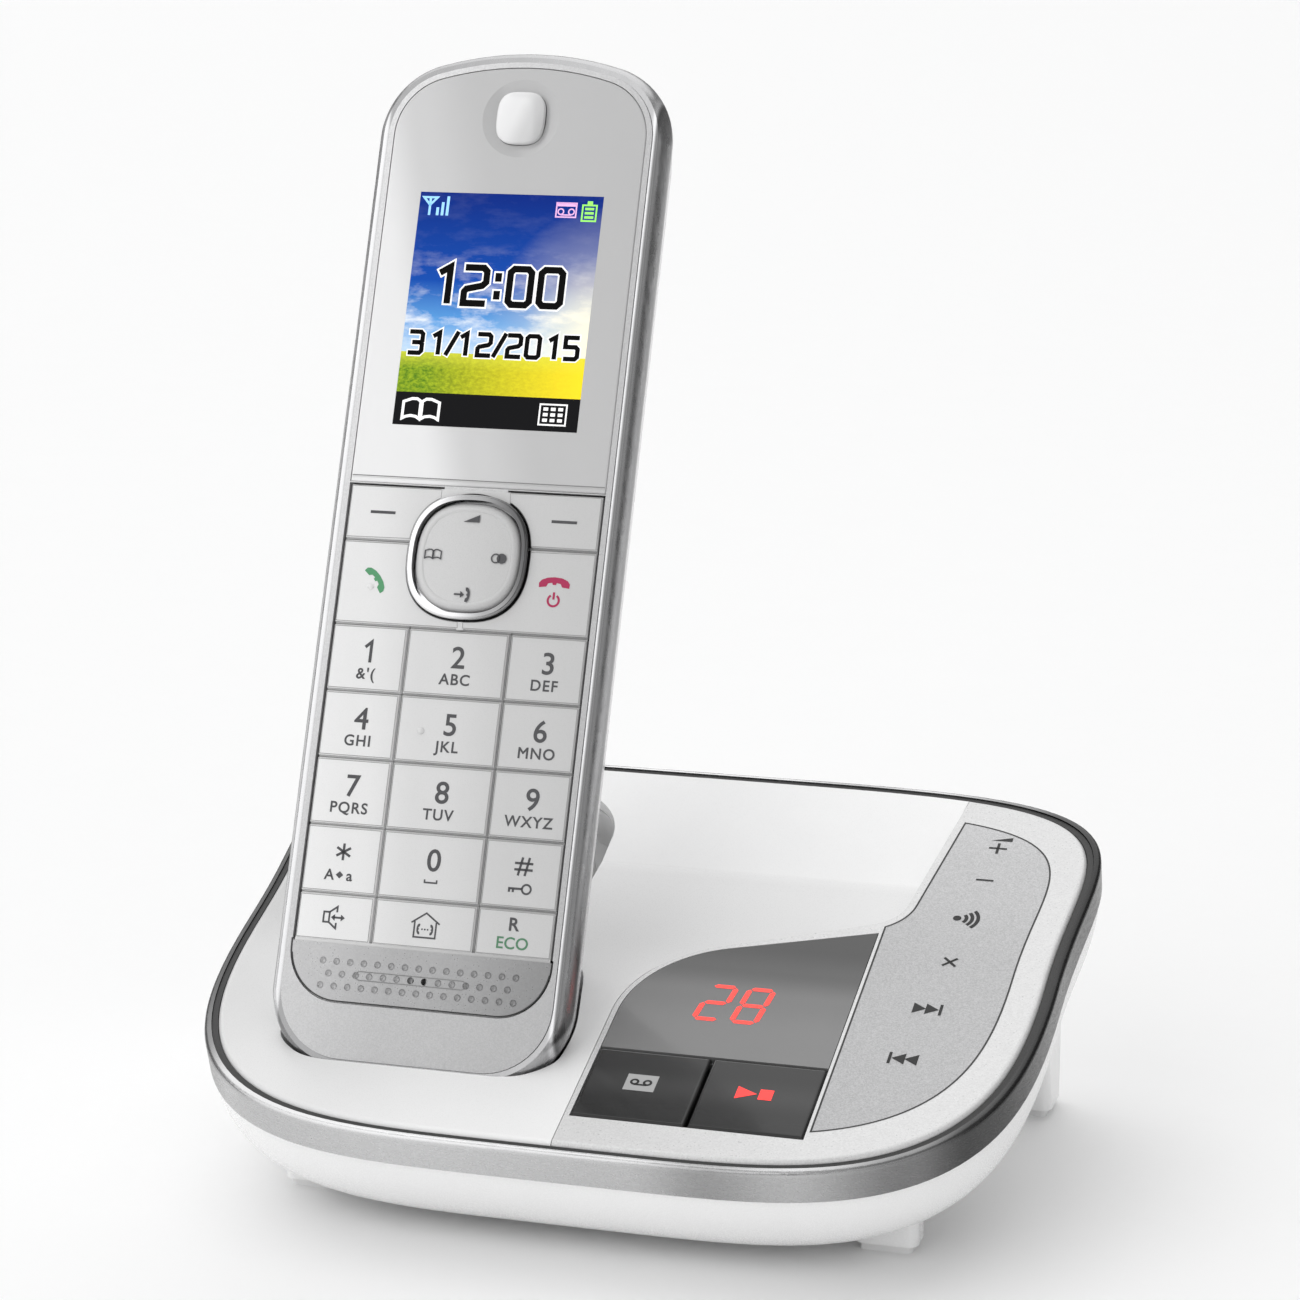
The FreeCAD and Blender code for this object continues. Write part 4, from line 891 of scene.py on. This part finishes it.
SIDE_MARK = 13.7  # how far the marks beside the ring stand from the middle
for node, side in (("soft_key_left", -1), ("soft_key_right", 1)):
    low, high = HANDSET.box(node)
    dash = rectangle((side * SIDE_MARK, (low[1] + high[1]) / 2.0), 3.8, 0.42)
    print_on(f"marks_{node}", node, HANDSET, high[2] + PRINT, dash, LEGEND)
low, high = HANDSET.box("talk_key")
talk_v = (low[1] + high[1]) / 2.0
print_on(
    "marks_talk_key", "talk_key", HANDSET, high[2] + PRINT,
    moved(receiver(), -SIDE_MARK + 0.2, talk_v + 0.5, -50.0, 0.92), LEGEND_GREEN
)
end_shape = join(
    moved(receiver(), SIDE_MARK - 0.4, talk_v + 1.5, 0.0, 0.98),
    moved(power_sign(), SIDE_MARK - 0.3, talk_v - 0.95)
)
print_on("marks_end_key", "end_key", HANDSET, high[2] + PRINT, end_shape, LEGEND_RED)

pad_marks = join(
    moved(wedge(), 0.1, 5.55),
    moved(open_book(), -5.1, 0.15, 0.0, 0.44),
    stroke(circle((4.35, 0.0), 0.62), 0.2, True),
    polygon(circle((5.25, 0.0), 0.74)),
    stroke([(-1.25, -5.5), (-0.1, -5.5)], 0.24),
    arrow_head((0.3, -5.5), 0.62),
    moved(receiver(), 0.75, -5.5, -90.0, 0.45),
)
pad_top = HANDSET.box("nav_pad")[1][2]
print_on(
    "marks_nav_pad", "nav_pad", HANDSET, pad_top + PRINT, moved(pad_marks, *HANDSET.middle("nav_pad")), LEGEND
)


def bump(name, node, center, radius, height, material, slot):
    """A raised dot: radius times cosine outward, height times sine up, in rings closed by a pole."""
    rise, turn = np.radians(np.linspace(0.0, 84.0, 8)), np.radians(np.arange(24) * 15.0)
    base = HANDSET.box(node)[1][2] - 0.02
    r, a = np.meshgrid(rise, turn, indexing="ij")
    x, y = center[0] + radius * np.cos(r) * np.cos(a), center[1] + radius * np.cos(r) * np.sin(a)
    points = np.column_stack((x.ravel(), y.ravel(), (base + height * np.sin(r)).ravel()))
    points = np.vstack((points, (center[0], center[1], base + height)))
    i, j = np.meshgrid(np.arange(7), np.arange(24), indexing="ij")
    a0, a1 = (i * 24 + j).ravel(), (i * 24 + (j + 1) % 24).ravel()
    faces = np.column_stack((a0, a1, a1 + 24, a0 + 24)).tolist()
    faces += [(7 * 24 + k, 7 * 24 + (k + 1) % 24, 8 * 24) for k in range(24)]
    return piece(name, HANDSET.lift(points), faces, BODIES[node], [material], smooth=True)


bump("dot_key_5", "key_5", HANDSET.middle("key_5") - (4.0, 0.2), 0.55, 0.35, KEYCAP, "key_white")
bump("dot_talk_key", "talk_key", (-SIDE_MARK - 0.5, talk_v - 0.6), 0.5, 0.35, KEYCAP, "key_white")

# ---------------- the earpiece
CAP_CORNER, CAP_CROWN = 3.2, 2.6  # the powers of the outline and of the crown


def domed_cap(low, high, rise, rings=18, around=72):
    """A rounded square dome, closed by a pole and a skirt.

    Its outline is a superellipse, and its height is rise times one minus a power of the share of its radius.
    """
    middle, half = (low[:2] + high[:2]) / 2.0, (high[:2] - low[:2]) / 2.0
    angle = np.arange(around) * 2.0 * np.pi / around
    c, k = np.cos(angle), np.sin(angle)
    reach = (np.abs(c) ** CAP_CORNER + np.abs(k) ** CAP_CORNER) ** (-1.0 / CAP_CORNER)
    share = np.linspace(1.0, 0.0, rings, endpoint=False)
    level = high[2] + rise * (1.0 - share ** CAP_CROWN)
    share, level = np.append(1.0, share), np.append(low[2], level)
    x = middle[0] + half[0] * share[:, None] * (reach * c)
    y = middle[1] + half[1] * share[:, None] * (reach * k)
    z = np.repeat(level[:, None], around, 1)
    points = np.vstack(
        (np.column_stack((x.ravel(), y.ravel(), z.ravel())), (middle[0], middle[1], high[2] + rise))
    )
    i, j = np.meshgrid(np.arange(rings), np.arange(around), indexing="ij")
    a, b = (i * around + j).ravel(), (i * around + (j + 1) % around).ravel()
    faces = np.column_stack((a, b, b + around, a + around)).tolist()
    last = rings * around
    faces += [(last + k, last + (k + 1) % around, last + around) for k in range(around)]
    faces += [tuple(range(around))[::-1]]
    return points, faces


low, high = HANDSET.box("earpiece_cap")
CAP_RISE = 0.5
high[2] -= CAP_RISE
points, faces = domed_cap(low, high, CAP_RISE)
cap = piece("earpiece_dome", HANDSET.lift(points), faces, "handset", [CAP_WHITE], smooth=True)
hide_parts("earpiece_cap")

# ---------------- marks on the base
PANEL_BLACK = ink("panel_black", (0.012, 0.012, 0.012), 0.45)
TAPE_GREY = ink("tape_sign_grey", (0.42, 0.42, 0.42), 0.4)
SIGN_RED = glow("sign_red", (0.95, 0.03, 0.025), 0.8)
DIGIT_RED = glow("digit_red", (1.0, 0.05, 0.035), 0.6)
panel_level = DECK.box("control_membrane")[1][2] + PRINT


def skip_sign(side):
    """Two triangles and a bar."""
    run = [[(-2.1, -1.2), (-0.2, 0.0), (-2.1, 1.2)], [(-0.3, -1.2), (1.6, 0.0), (-0.3, 1.2)]]
    shapes = [polygon([(side * x, y) for x, y in (t if side > 0 else t[::-1])]) for t in run]
    return join(*shapes, stroke([(side * 1.85, -1.25), (side * 1.85, 1.25)], 0.42))


def waves():
    arcs = [stroke(circle((-1.75, 0.0), r, 12, -42.0, 84.0), 0.55) for r in (1.35, 2.2, 3.05)]
    return join(polygon(circle((-1.75, 0.0), 0.62, 20)), *arcs)


def cross(size, width, turn):
    return moved(
        join(stroke([(-size, 0.0), (size, 0.0)], width), stroke([(0.0, -size), (0.0, size)], width)),
        turn=turn
    )


base_marks = {
    "panel_mark_plus": (moved(cross(1.35, 0.42, 0.0), 46.5, 32.0), "volume_rocker"),
    "panel_mark_wedge": (
        moved(polygon([(-1.6, -0.45), (1.5, -0.45), (1.5, 0.6)]), 46.8, 34.4), "volume_rocker"
    ),
    "panel_mark_minus": (moved(stroke([(-1.3, 0.0), (1.3, 0.0)], 0.42), 46.1, 23.6), "volume_rocker"),
    "panel_mark_waves": (moved(waves(), 45.7, 13.6), "locator_plunger"),
    "panel_mark_cross": (moved(cross(1.35, 0.42, 45.0), 45.0, 2.9), "erase_plunger"),
    "panel_mark_forward": (moved(skip_sign(1), 44.1, -8.4), "forward_plunger"),
    "panel_mark_back": (moved(skip_sign(-1), 43.0, -20.0), "back_plunger"),
}
for name, (shape, node) in base_marks.items():
    print_on(name, node, DECK, panel_level, shape, PANEL_BLACK, body="base")

low, high = DECK.box("answer_key")
key_level = high[2] + PRINT
print_on("tape_sign_plate", "answer_key", DECK, key_level, rectangle((8.7, -31.0), 4.4, 3.5), TAPE_GREY)
print_on(
    "tape_sign", "answer_key", DECK, key_level + 0.02, moved(tape_sign(0.3), 8.7, -30.9, 0.0, 1.15),
    PANEL_BLACK
)
play_stop = join(polygon([(-2.6, -1.35), (0.3, 0.0), (-2.6, 1.35)]), rectangle((1.55, 0.0), 1.9, 2.2))
print_on("play_stop_sign", "play_stop_key", DECK, key_level, moved(play_stop, 24.8, -30.9), SIGN_RED)


def lit_digit(which, center):
    """Seven bars with pointed ends, leaning to the right; which says the bars that are lit."""
    half_w, half_h, bar = 1.72, 3.85, 0.82
    ends = {
        "a": ((-half_w, half_h), (half_w, half_h)), "g": ((-half_w, 0.0), (half_w, 0.0)),
        "d": ((-half_w, -half_h), (half_w, -half_h)),
        "f": ((-half_w, half_h), (-half_w, 0.0)), "b": ((half_w, half_h), (half_w, 0.0)),
        "e": ((-half_w, 0.0), (-half_w, -half_h)), "c": ((half_w, 0.0), (half_w, -half_h)),
    }
    shapes = []
    for sign in which:
        start, end = np.array(ends[sign][0]), np.array(ends[sign][1])
        run = (end - start) / np.linalg.norm(end - start)
        side = np.array((-run[1], run[0])) * bar / 2.0
        a, b = start + run * 0.12, end - run * 0.12
        hexagon = [
            a, a + run * bar / 2.0 - side, b - run * bar / 2.0 - side, b, b - run * bar / 2.0 + side,
            a + run * bar / 2.0 + side
        ]
        shapes.append(polygon(hexagon))
    points, faces = join(*shapes)
    points[:, 0] += points[:, 1] * 0.12
    return points + center, faces


lens_level = DECK.box("display_lens")[1][2] + PRINT
digits = join(lit_digit("abged", (14.2, -11.5)), lit_digit("abcdefg", (19.65, -11.5)))
print_on("lit_digits", "display_lens", DECK, lens_level, digits, DIGIT_RED)


# ---------------- lines where parts meet
def rims(node, place, depth=0.25):
    """The closed edges of a node's top: edges that only one upward triangle uses, followed end to end."""
    points, triangles = place.vertices(node), place.triangles(node)
    _, first, merged = np.unique(np.round(points, 3), axis=0, return_index=True, return_inverse=True)
    points, triangles = points[first], merged.ravel()[triangles]
    corners = points[triangles]
    normal = np.cross(corners[:, 1] - corners[:, 0], corners[:, 2] - corners[:, 0])
    length = np.linalg.norm(normal, axis=1)
    upward = normal[:, 2] > 0.9 * length
    high = corners[:, :, 2].min(1) > points[:, 2].max() - depth
    top = upward & high & (length > 0)
    kept = triangles[top]
    edges = np.vstack((kept[:, [0, 1]], kept[:, [1, 2]], kept[:, [2, 0]]))
    used = set(map(tuple, edges.tolist()))
    after = {a: b for a, b in used if (b, a) not in used}
    loops = []
    while after:
        start = next(iter(after))
        loop, here = [], start
        while here in after:
            loop.append(here)
            here = after.pop(here)
        if len(loop) > 8:
            loops.append(points[loop])
    return sorted(loops, key=lambda loop: -np.ptp(loop[:, 0]) * np.ptp(loop[:, 1]))


def tidy_line(loop, least=0.05):
    """Points closer than least to the one before are dropped."""
    keep = np.linalg.norm(np.diff(loop, axis=0, append=loop[:1]), axis=1) > least
    return loop[keep]


def outline_shift(line, distance):
    """The step outward from the line's own middle, of one length at every point."""
    away = line - (line.min(0) + line.max(0)) / 2.0
    return away / np.linalg.norm(away, axis=1)[:, None] * distance


LINE_DARK = ink("line_dark", (0.03, 0.03, 0.03), 0.4)
LINE_GREY = ink("line_grey", (0.22, 0.22, 0.22), 0.4)
edge = tidy_line(rims("control_membrane", DECK)[0])
print_on(
    "membrane_edge_line", "control_membrane", DECK, panel_level, stroke(edge[:, :2], 0.26, True), LINE_DARK,
)

# the grooves between the keys: a pale web a little below their tops, with a thin shadow line along its middle
boxes = {n: HANDSET.box(n) for n in KEY_MARKS}
web_top = boxes["key_1"][1][1]
web_foot = boxes["speaker_key"][0][1]
web_side = HANDSET.box("key_1")[0][0]
GROOVE = 0.40
columns = [
    (boxes["key_1"][1][0] + boxes["key_2"][0][0]) / 2.0, (boxes["key_2"][1][0] + boxes["key_3"][0][0]) / 2.0
]
first_column = ("key_1", "key_4", "key_7", "key_star", "speaker_key")
rows = [(boxes[a][0][1] + boxes[b][1][1]) / 2.0 for a, b in zip(first_column, first_column[1:])]
talk_low = HANDSET.box("talk_key")[0][1]
call_line = (talk_low + web_top) / 2.0
soft_line = (HANDSET.box("soft_key_left")[0][1] + HANDSET.box("talk_key")[1][1]) / 2.0
ring_low, ring_high = HANDSET.box("nav_ring")
grooves = [[(x, web_foot), (x, web_top + GROOVE)] for x in columns]
grooves += [[(web_side, y), (-web_side, y)] for y in rows + [call_line]]
grooves += [
    [(web_side, soft_line), (ring_low[0] + 0.2, soft_line)],
    [(ring_high[0] - 0.2, soft_line), (-web_side, soft_line)]
]
key_face = boxes["key_1"][1][2]
web = join(*[stroke(line, GROOVE - 0.04) for line in grooves])
print_on("key_web", "handset_front_shell", HANDSET, key_face - 0.55, web, KEY_WEB)
shadow = join(*[stroke(line, 0.10) for line in grooves])
print_on("key_web_shadow", "handset_front_shell", HANDSET, key_face - 0.53, shadow, LINE_GREY)

# painted shade lines along the bevel round the flat top of each key, and a dark line round the ring
BEVEL_SHADE_INK = ink("bevel_shade_grey", (0.30, 0.30, 0.30), 0.4)
BEVEL = 0.18  # the rounding along a key's edge
for node in list(KEY_MARKS) + ["soft_key_left", "soft_key_right", "talk_key", "end_key"]:
    low, high = HANDSET.box(node)
    if node in KEY_MARKS:
        edge = rectangle(HANDSET.middle(node), *(high[:2] - low[:2] - 2.0 * BEVEL))[0]
    else:
        edge = tidy_line(rims(node, HANDSET, 0.05)[0], 0.12)[:, :2]
    print_on(f"bevel_shade_line_{node}", node, HANDSET, high[2] + 0.02, stroke(edge, 0.08, True), BEVEL_SHADE_INK)
ring_middle, ring_half = (ring_low[:2] + ring_high[:2]) / 2.0, (ring_high[:2] - ring_low[:2]) / 2.0
outline = tidy_line(rims("nav_ring", HANDSET, 2.0)[0], 0.12)
print_on(
    "ring_outline", "handset_front_shell", HANDSET, key_face + 0.03,
    stroke(outline[:, :2] + outline_shift(outline[:, :2], 0.1), 0.22, True), LINE_DARK
)

# two bridges in the keys' white close the row above the ring and the gap below it
BRIDGE_LEVEL = key_face + 0.015
soft_top = HANDSET.box("soft_key_left")[1][1]
lower_gap = rectangle((0.0, (ring_low[1] + call_line) / 2.0 - 0.1), 1.0, ring_low[1] - call_line - 0.35)
print_on("key_bridge_lower", "handset_front_shell", HANDSET, BRIDGE_LEVEL, lower_gap, KEYCAP)
arch = circle(ring_middle, ring_half[1] + 0.28, 24, 58.0, 64.0)
soft_edge = rims("soft_key_right", HANDSET, 0.05)[0]
bridge_half = soft_edge[soft_edge[:, 1] > soft_top - 0.3][:, 0].min() + 0.15
arch = arch[np.abs(arch[:, 0]) < bridge_half]
upper_gap = polygon(np.vstack((
    [
        (-bridge_half, arch[-1, 1]), (-bridge_half, soft_top - 0.05), (bridge_half, soft_top - 0.05),
        (bridge_half, arch[0, 1])
    ],
    arch
))[::-1])
print_on("key_bridge_upper", "handset_front_shell", HANDSET, BRIDGE_LEVEL, upper_gap, KEYCAP)

# a pale strip closes the gap between the lowest keys and the microphone plate
mic_top = HANDSET.box("microphone_plate")[1][1]
strip_v = (web_foot + mic_top) / 2.0
print_on(
    "key_foot_strip", "handset_front_shell", HANDSET, key_face - 0.12,
    rectangle((0.0, strip_v), -2.0 * web_side, max(web_foot - mic_top, 0.3) + 0.1), KEY_WEB
)

# a painted shade line and a painted highlight along the bevel at the foot of the window plate
plate_low = HANDSET.box("display_window")[0]
foot_v = plate_low[1] + 0.95
for name, shift, width, material in (
    ("window_foot_shade_line", 0.0, 0.13, LINE_GREY), ("window_foot_highlight", -0.2, 0.16, KEY_WEB)
):
    foot_line = stroke([(plate_low[0] + 0.2, foot_v + shift), (-plate_low[0] - 0.2, foot_v + shift)], width)
    print_on(name, "display_window", HANDSET, window_top + 0.02, foot_line, material)

# the microphone plate's edge and its slot
mic_rim = tidy_line(rims("microphone_plate", HANDSET)[0])
mic_level = HANDSET.box("microphone_plate")[1][2] + PRINT
lower = mic_rim[mic_rim[:, 1] < mic_rim[:, 1].max() - 1.5]
lower = lower[np.argsort(np.arctan2(lower[:, 1] - mic_rim[:, 1].max(), lower[:, 0]))]
print_on(
    "mic_plate_edge_line", "microphone_plate", HANDSET, mic_level, stroke(lower[:, :2], 0.16), LINE_DARK,
)
SLOT_ENDS, SLOT_V, SLOT_HALF = (-8.6, 6.5), -97.2, 0.62
slot_line = np.vstack(
    (
        circle((SLOT_ENDS[1], SLOT_V), SLOT_HALF, 12, -90.0, 180.0),
        circle((SLOT_ENDS[0], SLOT_V), SLOT_HALF, 12, 90.0, 180.0)
    )
)
print_on("mic_slot_line", "microphone_plate", HANDSET, mic_level, stroke(slot_line, 0.14, True), LINE_GREY)

bpy.context.view_layer.update()
